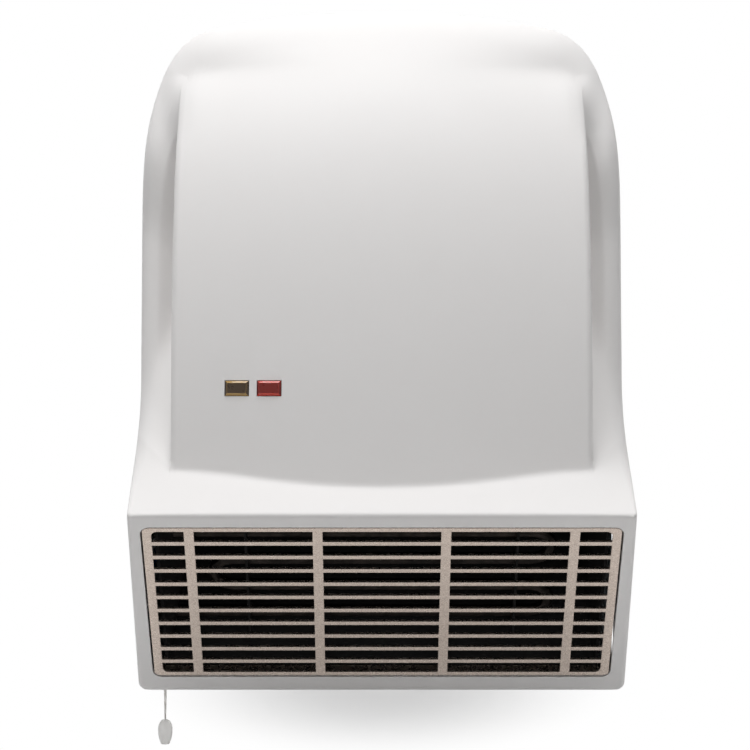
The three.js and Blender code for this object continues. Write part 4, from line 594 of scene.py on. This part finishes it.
BULGE_DEPTH = PANEL_BOTTOM_DEPTH + PANEL_BULGE
CENTRE_CURVE = cubic((TOP, 20), (140, 95), (50, BULGE_DEPTH - 2), (CREASE_CENTRE, BULGE_DEPTH))
EDGE_CURVE = cubic(
    (PANEL_START, 24), (128, 84), (30, PANEL_BOTTOM_DEPTH), (CREASE_CORNER, PANEL_BOTTOM_DEPTH)
)
CHANNEL_CURVE = cubic((TOP, 14), (148, 34), (60, 27), (-23, CHANNEL_DEPTH))
SWELL = smooth_step(55, 105, CHANNEL_CURVE[0]) * smooth_step(175, 120, CHANNEL_CURVE[0])
CHANNEL_CURVE = (CHANNEL_CURVE[0], CHANNEL_CURVE[1] + SHOULDER_SWELL * SWELL, *CHANNEL_CURVE[2:])


def edge_depth(z):
    channel = depth_on(CHANNEL_CURVE, z)
    raised = soft_max(channel, depth_on(EDGE_CURVE, z), EDGE_BLEND)
    return np.where(z > PANEL_START + EDGE_BLEND, channel, raised)


def panel_depth(a, z):
    share = (a / PANEL_HALF) ** 2
    return depth_on(CENTRE_CURVE, z) * (1 - share) + edge_depth(z) * share


def shelf_depth(a, z):
    rise = z - LIP_HEIGHT
    slope = SHELF_SLOPE + SHELF_END_SLOPE * (a / SHELF_END) ** 6
    return LIP_DEPTH - slope * rise + SHELF_HOLLOW * rise * rise


def outlet_depth(z):
    return LIP_DEPTH - OUTLET_SLOPE * (LIP_HEIGHT - z)


def crease_height(a):
    inner = CREASE_CENTRE + (CREASE_CORNER - CREASE_CENTRE) * (a / PANEL_HALF) ** 2
    return np.where(a <= PANEL_HALF, inner, CREASE_CORNER + CREASE_SIDE_SLOPE * (a - PANEL_HALF))


def scoop_depth(a, z):
    opening = np.sqrt(np.maximum(1 - (np.maximum(z - 40, 0) / 75) ** 2, 0))
    width = SCOOP_WIDTH * opening + 0.01 * np.minimum(z, 0) ** 2
    t = np.where(width > 0.5, np.clip((a - PANEL_HALF) / np.maximum(width, 0.5), 0, 1), 1)
    return SCOOP_DEPTH * opening * smooth_step(-55, 20, z) * (1 - t * t) ** 1.5


def channel_depth(a, z):
    """Face beside the panel: it follows the dome's side, then sweeps forward into the hood."""
    out = a - PANEL_HALF
    crease = crease_height(a)
    base = depth_on(CHANNEL_CURVE, z)
    lean = (1.3 / PANEL_HALF) * (depth_on(CENTRE_CURVE, z) - base)
    sweep_top = 30 - 2 * out
    left = np.clip((sweep_top - z) / (sweep_top - crease), 0, 1)
    start = shelf_depth(a, crease) - depth_on(CHANNEL_CURVE, crease)
    swept = base - smooth_step(108, 150, z) * lean * out - scoop_depth(a, z) + start * left**SWEEP_POWER
    return np.where(z <= crease, shelf_depth(a, z), swept)


def front_depth(x, z, wall=0.0):
    """Depth of the casing's front before its rim is rounded; a wall gives the inner face."""
    half = PANEL_HALF - wall
    a = np.abs(x)

    def behind(face):
        slope = face(z + 1) - face(z - 1)
        return face(z) - wall * np.minimum(np.hypot(1, slope / 2), 2.4)

    foot = half + PANEL_SIDE_LEAN
    outside = behind(lambda h: channel_depth(np.maximum(a, foot), h))
    inside = behind(lambda h: panel_depth(np.minimum(a, half), h))
    edge_top = behind(lambda h: panel_depth(half, h))
    edge_foot = behind(lambda h: channel_depth(foot, h))
    rounding = np.maximum(edge_top - edge_foot, 0) / 2 * (wall == 0)
    t_edge = (a - half + PANEL_EDGE_RADIUS) / PANEL_EDGE_RADIUS
    t_foot = 1 - (a - foot) / PANEL_FOOT_RADIUS
    raised = inside - np.minimum(PANEL_EDGE_RADIUS, rounding) * quarter_drop(t_edge)
    beside = outside + np.minimum(PANEL_FOOT_RADIUS, rounding) * quarter_drop(t_foot)
    body = np.where(a <= half + PANEL_SIDE_LEAN / 2, raised, beside)
    faded = inside + (outside - inside) * smooth_step(half - FADE_INSIDE, foot + FADE_OUTSIDE, a)
    body = body + (faded - body) * smooth_step(PANEL_FADE, PANEL_START, z)
    shelf = behind(lambda h: shelf_depth(a, h))
    outlet = outlet_depth(z) - wall * math.hypot(1, OUTLET_SLOPE)
    is_plain = (a > half + PANEL_SIDE_LEAN / 2) | (z > crease_height(a) + 12)
    above = np.where(is_plain, body, soft_max(body, shelf, CREASE_BLEND))
    return soft_min(above, outlet, LIP_RADIUS)


ARCH_ANGLE = math.asin(ARCH_HALF / TOP_RADIUS)


def upper_outline(share):
    """Point and inward normal: share 0 to 0.5 goes round the corner, 0.5 to 1 along the arch."""
    if share >= 0.5:
        angle = ARCH_ANGLE * 2 * (1 - share)
        normal = np.array((-math.sin(angle), -math.cos(angle)))
        return np.array((0, TOP - TOP_RADIUS)) - normal * TOP_RADIUS, normal
    arch_end = np.array((ARCH_HALF, TOP - TOP_RADIUS * (1 - math.cos(ARCH_ANGLE))))
    side_end = np.array((HALF_WIDTH, TOP - CORNER_DROP))
    pull = np.array((math.cos(ARCH_ANGLE), -math.sin(ARCH_ANGLE))) * CORNER_PULL_TOP
    p = [side_end, side_end + (0, CORNER_PULL_SIDE), arch_end + pull, arch_end]
    t = share * 2
    along = (1 - t) ** 2 * (p[1] - p[0]) + 2 * (1 - t) * t * (p[2] - p[1]) + t * t * (p[3] - p[2])
    along = along / np.hypot(*along)
    return bezier(p, t), np.array((-along[1], along[0]))


def rim_radius(point):
    if point[1] <= BOTTOM + 1:
        return RIM_HOOD
    side = RIM_HOOD + (RIM_SIDE - RIM_HOOD) * float(smooth_step(LIP_HEIGHT + 5, LIP_HEIGHT + 40, point[1]))
    return side + (RIM_TOP - side) * float(smooth_step(100, TOP, point[1]))


def rim_station(outline, inset, back_depth, arc_steps):
    """Points of the rim from the wall to the front face, each (x, depth, z)."""
    point, normal = outline

    def place(sink):
        return point + normal * (inset + sink)

    edge = place(0)
    room = float(front_depth(edge[0], edge[1], inset)) - RIM_WALL
    radius = max(min(rim_radius(point), room) - inset, 1.5)
    reach = place(radius + 1)
    wall_top = max(float(front_depth(reach[0], reach[1], inset)) - radius, 1)
    back = place(SIDE_DRAFT * back_depth)
    angles = np.linspace(0, math.pi / 2, arc_steps + 1)
    sinks = SIDE_DRAFT * wall_top + radius * (1 - np.cos(angles))
    xs = point[0] + normal[0] * (inset + sinks)
    zs = point[1] + normal[1] * (inset + sinks)
    depths = front_depth(xs, zs, inset) - radius * (1 - np.sin(angles))
    return [(back[0], back_depth, back[1]), *zip(xs, depths, zs)]


def share_for_column(x, inset, arc_steps):
    low, high = 0.0, 1.0
    for _ in range(26):
        middle = (low + high) / 2
        if rim_station(upper_outline(middle), inset, 0, arc_steps)[-1][0] > x:
            low = middle
        else:
            high = middle
    return (low + high) / 2


def casing_block(name, inset, back_depth, columns, strips, side_heights, corner_steps, arc_steps):
    """The solid bounded by the casing's front, its rim and a flat back, for either face."""

    def station(outline):
        return rim_station(outline, inset, back_depth, arc_steps)

    corner_x = HALF_WIDTH - BOTTOM_CORNER
    outer = columns[-1]
    bottom_xs = [*columns, *(outer + (corner_x - RIM_HOOD - outer) * f for f in strips)]
    bottom = [station((np.array((x, BOTTOM)), np.array((0.0, 1.0)))) for x in bottom_xs]
    side = []
    for k in range(1, BOTTOM_CORNER_STEPS + 1):
        angle = k / BOTTOM_CORNER_STEPS * math.pi / 2
        normal = np.array((-math.sin(angle), math.cos(angle)))
        centre = np.array((corner_x, BOTTOM + BOTTOM_CORNER))
        side.append(station((centre - normal * BOTTOM_CORNER, normal)))
    for z in side_heights:
        side.append(station((np.array((HALF_WIDTH, z)), np.array((-1.0, 0.0)))))
    corner_share = share_for_column(outer, inset, arc_steps)
    for k in range(corner_steps + 1):
        side.append(station(upper_outline(corner_share * k / corner_steps)))
    top = [
        station(upper_outline(share_for_column(x, inset, arc_steps) if x > 0 else 1)) for x in columns[:-1]
    ]
    top.append(side[-1])

    level_row = 95.0
    row_ends = [bottom[-1][-1], *(s[-1] for s in side)]
    top_heights = np.array([s[-1][2] for s in top])

    def row_heights(end, xs, is_column):
        crease_end = float(crease_height(end[0]))
        rising = np.clip((end[2] - LIP_HEIGHT) / (crease_end - LIP_HEIGHT), 0, 1)
        falling = np.clip((20 - end[2]) / (20 - crease_end), 0, 1)
        low = end[2] + min(rising, falling) * (crease_height(xs) - crease_end)
        if end[2] > level_row and is_column:
            share = (end[2] - level_row) / (row_ends[-1][2] - level_row)
            return level_row + (top_heights - level_row) * share
        return low

    rows = []
    for j, end in enumerate(row_ends):
        if j == 0:
            rows.append([s[-1] for s in bottom])
            continue
        if j == len(row_ends) - 1:
            rows.append([*(s[-1] for s in top), *([top[-1][-1]] * len(strips))])
            continue
        xs = np.array(columns, float)
        zs = row_heights(end, xs, True)
        fixed = list(zip(xs, front_depth(xs, zs, inset), zs))
        xs = outer + (end[0] - outer) * np.array(strips[:-1])
        zs = row_heights(end, xs, False)
        rows.append([*fixed, *zip(xs, front_depth(xs, zs, inset), zs), end])

    vertices, faces = [], []

    def vertex(point, flip=1):
        vertices.append((flip * point[0] * MM, -point[1] * MM, point[2] * MM))
        return len(vertices) - 1

    grid = []
    for row in rows:
        right = [vertex(p) for p in row]
        left = [right[0], *(vertex(p, -1) for p in row[1:])]
        grid.append([*left[:0:-1], *right])
    for low, high in zip(grid, grid[1:]):
        for i in range(len(low) - 1):
            faces.append((low[i], low[i + 1], high[i + 1], high[i]))
    right_half = [*bottom, *side, *top[-2:0:-1], top[0]]
    rings = [[vertex(p) for p in s] for s in right_half]
    rings += [[vertex(p, -1) for p in s] for s in right_half[-2:0:-1]]
    for k, ring in enumerate(rings):
        following = rings[(k + 1) % len(rings)]
        for level in range(len(ring) - 1):
            faces.append((ring[level], following[level], following[level + 1], ring[level + 1]))
    faces.append(tuple(ring[0] for ring in rings[::-1]))
    return mesh_object(name, vertices, faces)


def outlet_frame():
    """The outlet's own frame: across, up its slope, and straight out of its face."""
    run = math.hypot(1, OUTLET_SLOPE)
    up = Vector((0, -OUTLET_SLOPE / run, 1 / run))
    out = Vector((0, -1 / run, -OUTLET_SLOPE / run))
    turn = Matrix((Vector((1, 0, 0)), up, out)).transposed().to_4x4()
    return Matrix.Translation(Vector((0, -LIP_DEPTH, LIP_HEIGHT)) * MM) @ turn


OUTLET_END = (LIP_HEIGHT - BOTTOM) * math.hypot(1, OUTLET_SLOPE) - OUTLET_BOTTOM_BORDER


def panel_place(x, z):
    """The frame of a spot on the panel: across, inwards and up."""
    slope_x = float(front_depth(x + 1, z) - front_depth(x - 1, z)) / 2
    slope_z = float(front_depth(x, z + 1) - front_depth(x, z - 1)) / 2
    across = Vector((1, -slope_x, 0)).normalized()
    inward = Vector((slope_x, 1, slope_z)).normalized()
    up = across.cross(inward)
    turn = Matrix((inward.cross(up), inward, up)).transposed().to_4x4()
    return Matrix.Translation(Vector((x, -float(front_depth(x, z)), z)) * MM) @ turn


# ------------------------------ properties


def length(name, description, metres):
    """A property that holds a length."""
    return FloatProperty(name=name, description=f"{description}, in metres", default=metres, unit="LENGTH")


class HEATER_PG_casing(bpy.types.PropertyGroup):
    colour: FloatVectorProperty(
        name="Moulding",
        description="Colour of the moulded casing",
        subtype="COLOR",
        default=linear("#f4f2f1")[:3],
    )
    roughness: FloatProperty(
        name="Roughness", description="Roughness of the moulding", default=0.5, min=0, max=1
    )


class HEATER_PG_grille(bpy.types.PropertyGroup):
    rows: IntProperty(name="Rows", description="Rows of slots", default=11, min=2, max=30)
    bar: length("Bar", "Height of a bar", 0.0025)
    post: length("Post", "Width of a post", 0.005)
    side: length("Side frame", "Width at the sides", 0.0045)
    end_column: length("End column", "Width of the end slots", 0.0165)
    bar_depth: length("Bar depth", "Depth of the bars", 0.0016)
    frame_depth: length("Frame depth", "Depth of the frame", 0.006)


class HEATER_PG_lenses(bpy.types.PropertyGroup):
    width: length("Width", "Width of a lens", 0.0123)
    height: length("Height", "Height of a lens", 0.0076)
    bevel: length("Bevel", "Width of the bevels", 0.0011)


class HEATER_PG_cord(bpy.types.PropertyGroup):
    strand: length("Strand", "Radius of a strand", 0.00038)
    turns: FloatProperty(name="Turns", description="Turns of the two strands", default=0.5, min=0, max=20)


# ------------------------------ operators


class HEATER_OT_casing(bpy.types.Operator):
    """Models the moulded front casing with its outlet, lens windows, inlet slots and holes"""

    bl_idname = "heater.casing"
    bl_label = "Front Casing"

    def execute(self, context):
        # Columns from the middle outwards, then rows up the side, both closer where the face bends
        edge = [PANEL_HALF - PANEL_EDGE_RADIUS * (1 - math.sin(k / 7 * math.pi / 2)) for k in range(8)]
        foot_x = PANEL_HALF + PANEL_SIDE_LEAN
        foot = [foot_x + PANEL_FOOT_RADIUS * (1 - math.cos(k / 7 * math.pi / 2)) for k in range(8)]
        wide = [k * (PANEL_HALF - PANEL_EDGE_RADIUS) / 30 for k in range(30)]
        heights = [
            *range(-172, -92, 10),
            *(LIP_HEIGHT - 5.6 + 0.8 * k for k in range(15)),
            *(LIP_HEIGHT + 7.25 + 2.5 * k for k in range(9)),
            *(LIP_HEIGHT + 28.75 + 0.8 * k for k in range(14)),
            *(LIP_HEIGHT + 40.75 + 3 * k for k in range(30)),
        ]
        outer = casing_block(
            "casing_outer", 0, 0, [*wide, *edge, *foot], [k / 9 for k in range(1, 10)], heights, 44, 9
        )
        inner_half = PANEL_HALF - WALL
        inner_columns = [k * inner_half * 0.9 / 14 for k in range(15)]
        inner_columns += [inner_half * share for share in (0.93, 0.965, 1)]
        inner_columns += [inner_half + PANEL_SIDE_LEAN, PANEL_HALF + 1]
        inner_heights = [LIP_HEIGHT + k for k in (-50, -4, -2, 0, 2, 4, 12, 20, 28, 32, 36, 40, 48)]
        inner_heights += [*range(-28, 44, 8)]
        inner = casing_block("casing_inner", WALL, -1, inner_columns, [0.5, 1], inner_heights, 28, 4)

        opening = new_box(
            -OUTLET_HALF_WIDTH, OUTLET_HALF_WIDTH, -OUTLET_END, -OUTLET_TOP_BORDER, -4 * WALL, WALL
        )
        round_uprights(opening, OUTLET_CORNER, 8)
        opening.data.transform(outlet_frame())

        windows = []
        lens = context.scene.heater_lenses
        for x in (LENS_AMBER_X, LENS_RED_X):
            half_w, half_h = lens.width / 2 / MM + LENS_GAP, lens.height / 2 / MM + LENS_GAP
            window = new_box(-half_w, half_w, -3 * WALL, 3 * WALL, -half_h, half_h)
            window.data.transform(panel_place(x, LENS_Z))
            windows.append(window)

        slots = []
        low, high = TOP_RADIUS - 3 * WALL, TOP_RADIUS + 3 * WALL
        for k in range(INLET_COUNT):
            slot = new_box(-INLET_HALF_LENGTH, INLET_HALF_LENGTH, -INLET_FAR, -INLET_NEAR, low, high)
            round_uprights(slot, INLET_ROUNDING, 5)
            turn = Matrix.Rotation((k - INLET_COUNT // 2) * INLET_SPACING / TOP_RADIUS, 4, "Y")
            slot.data.transform(Matrix.Translation((0, 0, (TOP - TOP_RADIUS) * MM)) @ turn)
            slots.append(slot)

        holes = []
        for x, depth, radius in UNDERSIDE_HOLES:
            clear_selection()
            bpy.ops.mesh.primitive_cylinder_add(
                vertices=32, radius=radius * MM, depth=12 * MM, location=(x * MM, -depth * MM, BOTTOM * MM)
            )
            settle(bpy.context.object)
            holes.append(bpy.context.object)

        carve(outer, inner, opening, *windows, *slots, *holes)
        smooth(outer, 38)
        apply_modifier(outer, "WEIGHTED_NORMAL", keep_sharp=True, weight=80)
        gloss = gloss_moulding(context.scene.heater_casing)
        finished(outer, "moulded_casing", "housing", gloss, "casing", "front_casing")
        return {"FINISHED"}


class HEATER_OT_grille(bpy.types.Operator):
    """Models the cast grille: one lattice with rounded bars, in a deeper frame"""

    bl_idname = "heater.grille"
    bl_label = "Outlet Grille"

    def execute(self, context):
        size = context.scene.heater_grille
        bar, post = size.bar / MM, size.post / MM
        half = OUTLET_HALF_WIDTH - GRILLE_GAP
        top, end = OUTLET_TOP_BORDER + GRILLE_GAP, OUTLET_END - GRILLE_GAP
        slot = (end - top - (size.rows + 1) * bar) / size.rows
        inner = half - size.side / MM
        wide = (2 * (inner - size.end_column / MM - post) - 2 * post) / 3
        widths = [size.end_column / MM, wide, wide, wide, size.end_column / MM]
        xs, is_slot_x = [-half], []
        for k, width in enumerate(widths):
            xs += [xs[-1] + (size.side / MM if k == 0 else post)]
            xs += [xs[-1] + width]
            is_slot_x += [False, True]
        xs.append(half)
        is_slot_x.append(False)
        ss, is_slot_s = [top], []
        for _ in range(size.rows):
            ss += [ss[-1] + bar, ss[-1] + bar + slot]
            is_slot_s += [False, True]
        ss.append(end)
        is_slot_s.append(False)

        clear_selection()
        bpy.ops.mesh.primitive_grid_add(x_subdivisions=len(xs) - 1, y_subdivisions=len(ss) - 1, size=1)
        lattice = bpy.context.object
        columns, rows = len(xs), len(ss)
        for v in lattice.data.vertices:
            i = round((v.co.x + 0.5) * (columns - 1))
            j = round((0.5 - v.co.y) * (rows - 1))
            v.co = Vector((xs[i] * MM, -ss[j] * MM, 0))

        def in_slot(face):
            centre = face.calc_center_median() / MM
            i = sum(centre.x > x for x in xs) - 1
            j = sum(-centre.y > s for s in ss) - 1
            return is_slot_x[i] and is_slot_s[j]

        def at_corner(edge, reach_x, reach_s):
            a = edge.verts[0].co / MM
            near_x = abs(abs(a.x) - reach_x) < 0.05
            return is_upright(edge) and near_x and min(abs(-a.y - s) for s in reach_s) < 0.05

        with editing(lattice):
            select_where(lattice, in_slot)
            bpy.ops.mesh.delete(type="FACE")
            bpy.ops.mesh.select_all(action="SELECT")
            bpy.ops.mesh.extrude_region_move(TRANSFORM_OT_translate={"value": (0, 0, -size.bar_depth)})
            face_outwards()
            for reach_x, reach_s, radius, segments in (
                (half, (top, end), OUTLET_CORNER - GRILLE_GAP, 7),
                (inner, (top + bar, end - bar), 3.2, 6),
            ):
                select_where(lattice, lambda e: at_corner(e, reach_x, reach_s), "EDGE")
                bpy.ops.mesh.bevel(offset=radius * MM, segments=segments, affect="EDGES")
        round_sharp(lattice, 0.78, 4, 50)

        skirt = new_box(-half, half, -end, -top, -size.frame_depth / MM, -size.bar_depth / MM + 0.6)
        round_uprights(skirt, OUTLET_CORNER - GRILLE_GAP, 7)
        with editing(skirt):
            select_where(skirt, lambda f: abs(f.normal.z) > 0.9)
            bpy.ops.mesh.inset(thickness=1.4 * MM)
            bpy.ops.mesh.bridge_edge_loops()
        for piece in (lattice, skirt):
            piece.data.transform(outlet_frame() @ Matrix.Translation((0, 0, -GRILLE_RECESS * MM)))
        clear_selection()
        skirt.select_set(True)
        lattice.select_set(True)
        context.view_layer.objects.active = lattice
        bpy.ops.object.join()
        smooth(lattice, 40)
        finished(lattice, "slotted_grille", "housing", satin_grille(), "grille_metal", "outlet_grille")
        return {"FINISHED"}


class HEATER_OT_lenses(bpy.types.Operator):
    """Models the amber and the red indicator lens, each a bevelled cap in its window"""

    bl_idname = "heater.lenses"
    bl_label = "Indicator Lenses"

    def execute(self, context):
        size = context.scene.heater_lenses
        # Two copies of each lens's plastic: the light colour is a painted highlight on the bevels, for light
        # caught from above; the dark colour is painted shade on the window, for the dark hollow behind it.
        for word, x, rim, window in (
            ("amber", LENS_AMBER_X, "#c39a52", "#3f2f1c"),
            ("red", LENS_RED_X, "#dd3a22", "#74180f"),
        ):
            w, h, b = size.width / 2 / MM, size.height / 2 / MM, size.bevel / MM
            lens = new_box(-w, w, -LENS_PROUD + b, LENS_LENGTH - LENS_PROUD, -h, h)
            # slot 0 holds the painted highlight of the bevels, slot 1 the painted shade of the window
            lens.data.materials.append(lens_plastic(f"{word}_polycarbonate_bevel_painted_highlight", rim, 0.12, 0.2))
            lens.data.materials.append(lens_plastic(f"{word}_polycarbonate_window_painted_shade", window, 0.3, 0.0))
            with editing(lens):
                select_where(lens, lambda f: f.normal.y < -0.9)
                bpy.ops.mesh.inset(thickness=size.bevel, depth=size.bevel * 0.9)
                bpy.ops.mesh.inset(thickness=0.25 * MM, depth=-LENS_ROUNDING * MM)
                bpy.ops.mesh.bevel(offset=LENS_ROUNDING * MM, segments=2, affect="EDGES")
            round_sharp(lens, LENS_ROUNDING, 2, 30)
            # the window and the end bevels get the painted shade, the other bevels the painted highlight
            for face in lens.data.polygons:
                centre = face.center / MM
                inner = abs(centre.x) < w - b - 0.2 and abs(centre.z) < h - b - 0.2
                is_end = abs(face.normal.x) > 0.3  # the end bevels look into the lens's depth, so they take the dark copy's painted shade too
                face.material_index = int((inner and centre.y < 0) or is_end)
            lens.data.transform(panel_place(x, LENS_Z))
            smooth(lens, 30)
            finished(lens, f"indicator_lens_{word}", "housing", None, f"lens_{word}", f"lens_{word}")
        return {"FINISHED"}


class HEATER_OT_pull_cord(bpy.types.Operator):
    """Models the doubled pull cord and its acorn toggle"""

    bl_idname = "heater.pull_cord"
    bl_label = "Pull Cord"

    def execute(self, context):
        size = context.scene.heater_cord
        low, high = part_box("pull_cord")
        start = Vector(((low.x + high.x) / 2, (low.y + high.y) / 2, high.z))
        length = high.z - low.z
        offset = 0.00075 - size.strand  # the strands' outsides are a cord's diameter apart
        strands = []
        for side in (0, math.pi):
            curve = bpy.data.curves.new("strand", "CURVE")
            curve.dimensions = "3D"
            curve.bevel_depth = size.strand
            curve.bevel_resolution = 3
            curve.use_fill_caps = True
            spline = curve.splines.new("POLY")
            spline.points.add(STRAND_STEPS)
            for k, point in enumerate(spline.points):
                share = k / STRAND_STEPS
                angle = side + size.turns * 2 * math.pi * (share - 0.5)
                here = start - Vector((0, 0, length * share))
                point.co = (here.x + offset * math.cos(angle), here.y + offset * math.sin(angle), here.z, 1)
            strands.append(linked("strand", curve))
        clear_selection()
        for strand in strands:
            strand.select_set(True)
        context.view_layer.objects.active = strands[0]
        bpy.ops.object.convert(target="MESH")
        bpy.ops.object.join()
        cord = context.object
        smooth(cord, 60)
        finished(cord, "doubled_cord", "pull", twisted_cord(), "nylon_cord", "pull_cord")

        low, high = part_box("cord_toggle")
        top = Vector(((low.x + high.x) / 2, (low.y + high.y) / 2, high.z))
        height = (high.z - low.z) / MM
        clear_selection()
        bpy.ops.mesh.primitive_cylinder_add(vertices=40, radius=TOGGLE_RADIUS * MM, depth=height * MM)
        toggle = context.object
        with editing(toggle):
            select_where(toggle, is_upright, "EDGE")
            bpy.ops.mesh.subdivide(number_cuts=21)
        drops, radii = zip(*TOGGLE_PROFILE, (height - 0.5, 2.5), (height, 2.2))
        for v in toggle.data.vertices:
            drop = height / 2 - v.co.z / MM
            reach = float(np.interp(drop, drops, radii)) / TOGGLE_RADIUS
            v.co.x *= reach
            v.co.y *= reach
        toggle.data.transform(Matrix.Translation(top - Vector((0, 0, height / 2 * MM))))
        round_sharp(toggle, 0.25, 2, 40)
        smooth(toggle, 50)
        finished(toggle, "acorn_toggle", "pull", milky_nylon(), "white_plastic", "cord_toggle")
        return {"FINISHED"}


class HEATER_OT_inner_pieces(bpy.types.Operator):
    """Paints the pieces that keep the frame's own shape, and winds the return spring"""

    bl_idname = "heater.inner_pieces"
    bl_label = "Inner Pieces"

    def execute(self, context):
        zinc, steel = zinc_sheet(), dark_steel()
        white = matt_plastic("moulded_nylon", "#d6d5d1", "#e6e5e2", 0.4)
        black = matt_plastic("moulded_phenolic", "#1d1d1f", "#29292b", 0.5)
        duct, brass, glass = duct_painted_shade(), turned_brass(), lamp_glass()
        looks = {
            zinc: "back_plate lens_retainer fan_scroll fan_cut_off fan_side_plate_left fan_side_plate_right "
            "fan_impeller motor_bracket_inner motor_bracket_outer",
            steel: "casing_screw_left casing_screw_right fan_shaft motor_rotor motor_stack motor_screw_rear "
            "motor_screw_front terminal_screw_1 terminal_screw_2 terminal_screw_3 "
            "clamp_screw_left clamp_screw_right",
            # The duct and the element brackets are near black as painted shade for the dark inside of the
            # outlet; so is the element's darkened sheath.
            duct: "outlet_duct element_bracket_left element_bracket_right",
            element_sheath_painted_shade(): "heating_element",
            white: "pull_plunger cord_bush terminal_block cable_clamp",
            black: "thermal_cutout pull_switch",
            soft_rubber(): "fan_end_bearing",
            wound_copper(): "motor_coil",
            brass: "terminal_barrel_1 terminal_barrel_2 terminal_barrel_3",
            glass: "neon_lamp_amber neon_lamp_red",
            pvc_lead("brown_pvc", "#5e3720", "#744728"): "lead_live",
            pvc_lead("blue_pvc", "#27558d", "#3268aa"): "lead_neutral lead_motor",
            pvc_lead("white_pvc", "#d2d0c9", "#e6e4df"): "lead_switched lead_element",
        }
        for material, names in looks.items():
            for name in names.split():
                mesh = NODES[name].data
                mesh.materials.clear()
                mesh.materials.append(material)

        low, high = (Vector(corner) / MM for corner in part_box("pull_spring"))
        middle = (low + high) / 2
        rise = high.z - low.z - 2 * SPRING_WIRE
        clear_selection()
        bpy.ops.mesh.primitive_circle_add(
            vertices=10,
            radius=SPRING_WIRE * MM,
            location=((high.x - low.x) / 2 * MM - SPRING_WIRE * MM, 0, 0),
            rotation=(math.pi / 2, 0, 0),
        )
        spring = context.object
        settle(spring)
        apply_modifier(
            spring,
            "SCREW",
            axis="Z",
            screw_offset=rise / SPRING_TURNS * MM,
            iterations=SPRING_TURNS,
            steps=20,
            render_steps=20,
        )
        with editing(spring):
            bpy.ops.mesh.select_all(action="SELECT")
            bpy.ops.mesh.fill_holes(sides=12)
            face_outwards()
        foot = Vector((middle.x, middle.y, low.z + SPRING_WIRE))
        spring.data.transform(Matrix.Translation(foot * MM))
        smooth(spring, 60)
        finished(spring, "return_spring", "housing", steel, "dark_steel", "pull_spring")
        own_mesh(spring)
        return {"FINISHED"}


class HEATER_OT_stage(bpy.types.Operator):
    """Sets the paper backdrop, the lamps, the world and the camera"""

    bl_idname = "heater.stage"
    bl_label = "Stage"

    def execute(self, context):
        paper = backdrop_paper()
        for name, place, turn, reach in SHEETS:
            clear_selection()
            bpy.ops.mesh.primitive_plane_add(size=60, location=place, rotation=(turn, 0, 0))
            sheet = context.object
            sheet.name = name
            sheet.scale = reach
            sheet.data.materials.append(paper)

        for name, place, power, spread, aim in LAMPS:
            lamp = bpy.data.lights.new(name, "AREA")
            lamp.energy = power
            lamp.size = spread
            holder = linked(name, lamp)
            holder.location = place
            holder.rotation_euler = (Vector(aim) - Vector(place)).to_track_quat("-Z", "Y").to_euler()

        world = bpy.data.worlds.new("studio")
        context.scene.world = world
        world.use_nodes = True
        tree = world.node_tree
        tree.nodes.clear()
        soft, white = (
            add_node(tree, "ShaderNodeBackground", {"Color": WHITE, "Strength": glow})
            for glow in (WORLD_LIGHT, 1.0)
        )
        choice = {0: sight(tree), 1: soft.outputs[0], 2: white.outputs[0]}
        mixed = add_node(tree, "ShaderNodeMixShader", choice)
        add_node(tree, "ShaderNodeOutputWorld", {"Surface": mixed.outputs[0]})
        context.scene.view_settings.view_transform = "Standard"

        camera = bpy.data.cameras.new("camera")
        camera.lens = CAMERA_LENS
        camera.sensor_width = CAMERA_SENSOR
        holder = linked("camera", camera)
        holder.location = CAMERA_PLACE
        holder.rotation_euler = (math.pi / 2, 0, 0)
        context.scene.camera = holder
        return {"FINISHED"}


OPERATORS = (
    HEATER_OT_stage,
    HEATER_OT_pull_cord,
    HEATER_OT_casing,
    HEATER_OT_grille,
    HEATER_OT_lenses,
    HEATER_OT_inner_pieces,
)


class HEATER_PT_pieces(bpy.types.Panel):
    """Lists the heater's pieces"""

    bl_idname = "HEATER_PT_pieces"
    bl_label = "Fan Heater"
    bl_space_type = "VIEW_3D"
    bl_region_type = "UI"
    bl_category = "Heater"

    def draw(self, context):
        for operator in OPERATORS:
            self.layout.operator(operator.bl_idname)
        for name in GROUPS:
            group = getattr(context.scene, name)
            for item in group.bl_rna.properties:
                if item.identifier not in ("rna_type", "name"):
                    self.layout.prop(group, item.identifier)


GROUPS = {
    "heater_casing": HEATER_PG_casing,
    "heater_grille": HEATER_PG_grille,
    "heater_lenses": HEATER_PG_lenses,
    "heater_cord": HEATER_PG_cord,
}


def register():
    for item in (*GROUPS.values(), *OPERATORS, HEATER_PT_pieces):
        bpy.utils.register_class(item)
    for name, group in GROUPS.items():
        setattr(bpy.types.Scene, name, PointerProperty(type=group))


def unregister():
    for name in GROUPS:
        delattr(bpy.types.Scene, name)
    for item in reversed((*GROUPS.values(), *OPERATORS, HEATER_PT_pieces)):
        bpy.utils.unregister_class(item)


def main():
    register()
    for operator in OPERATORS:
        category, name = operator.bl_idname.split(".")
        getattr(getattr(bpy.ops, category), name)()
    clear_selection()


if __name__ == "__main__":
    main()
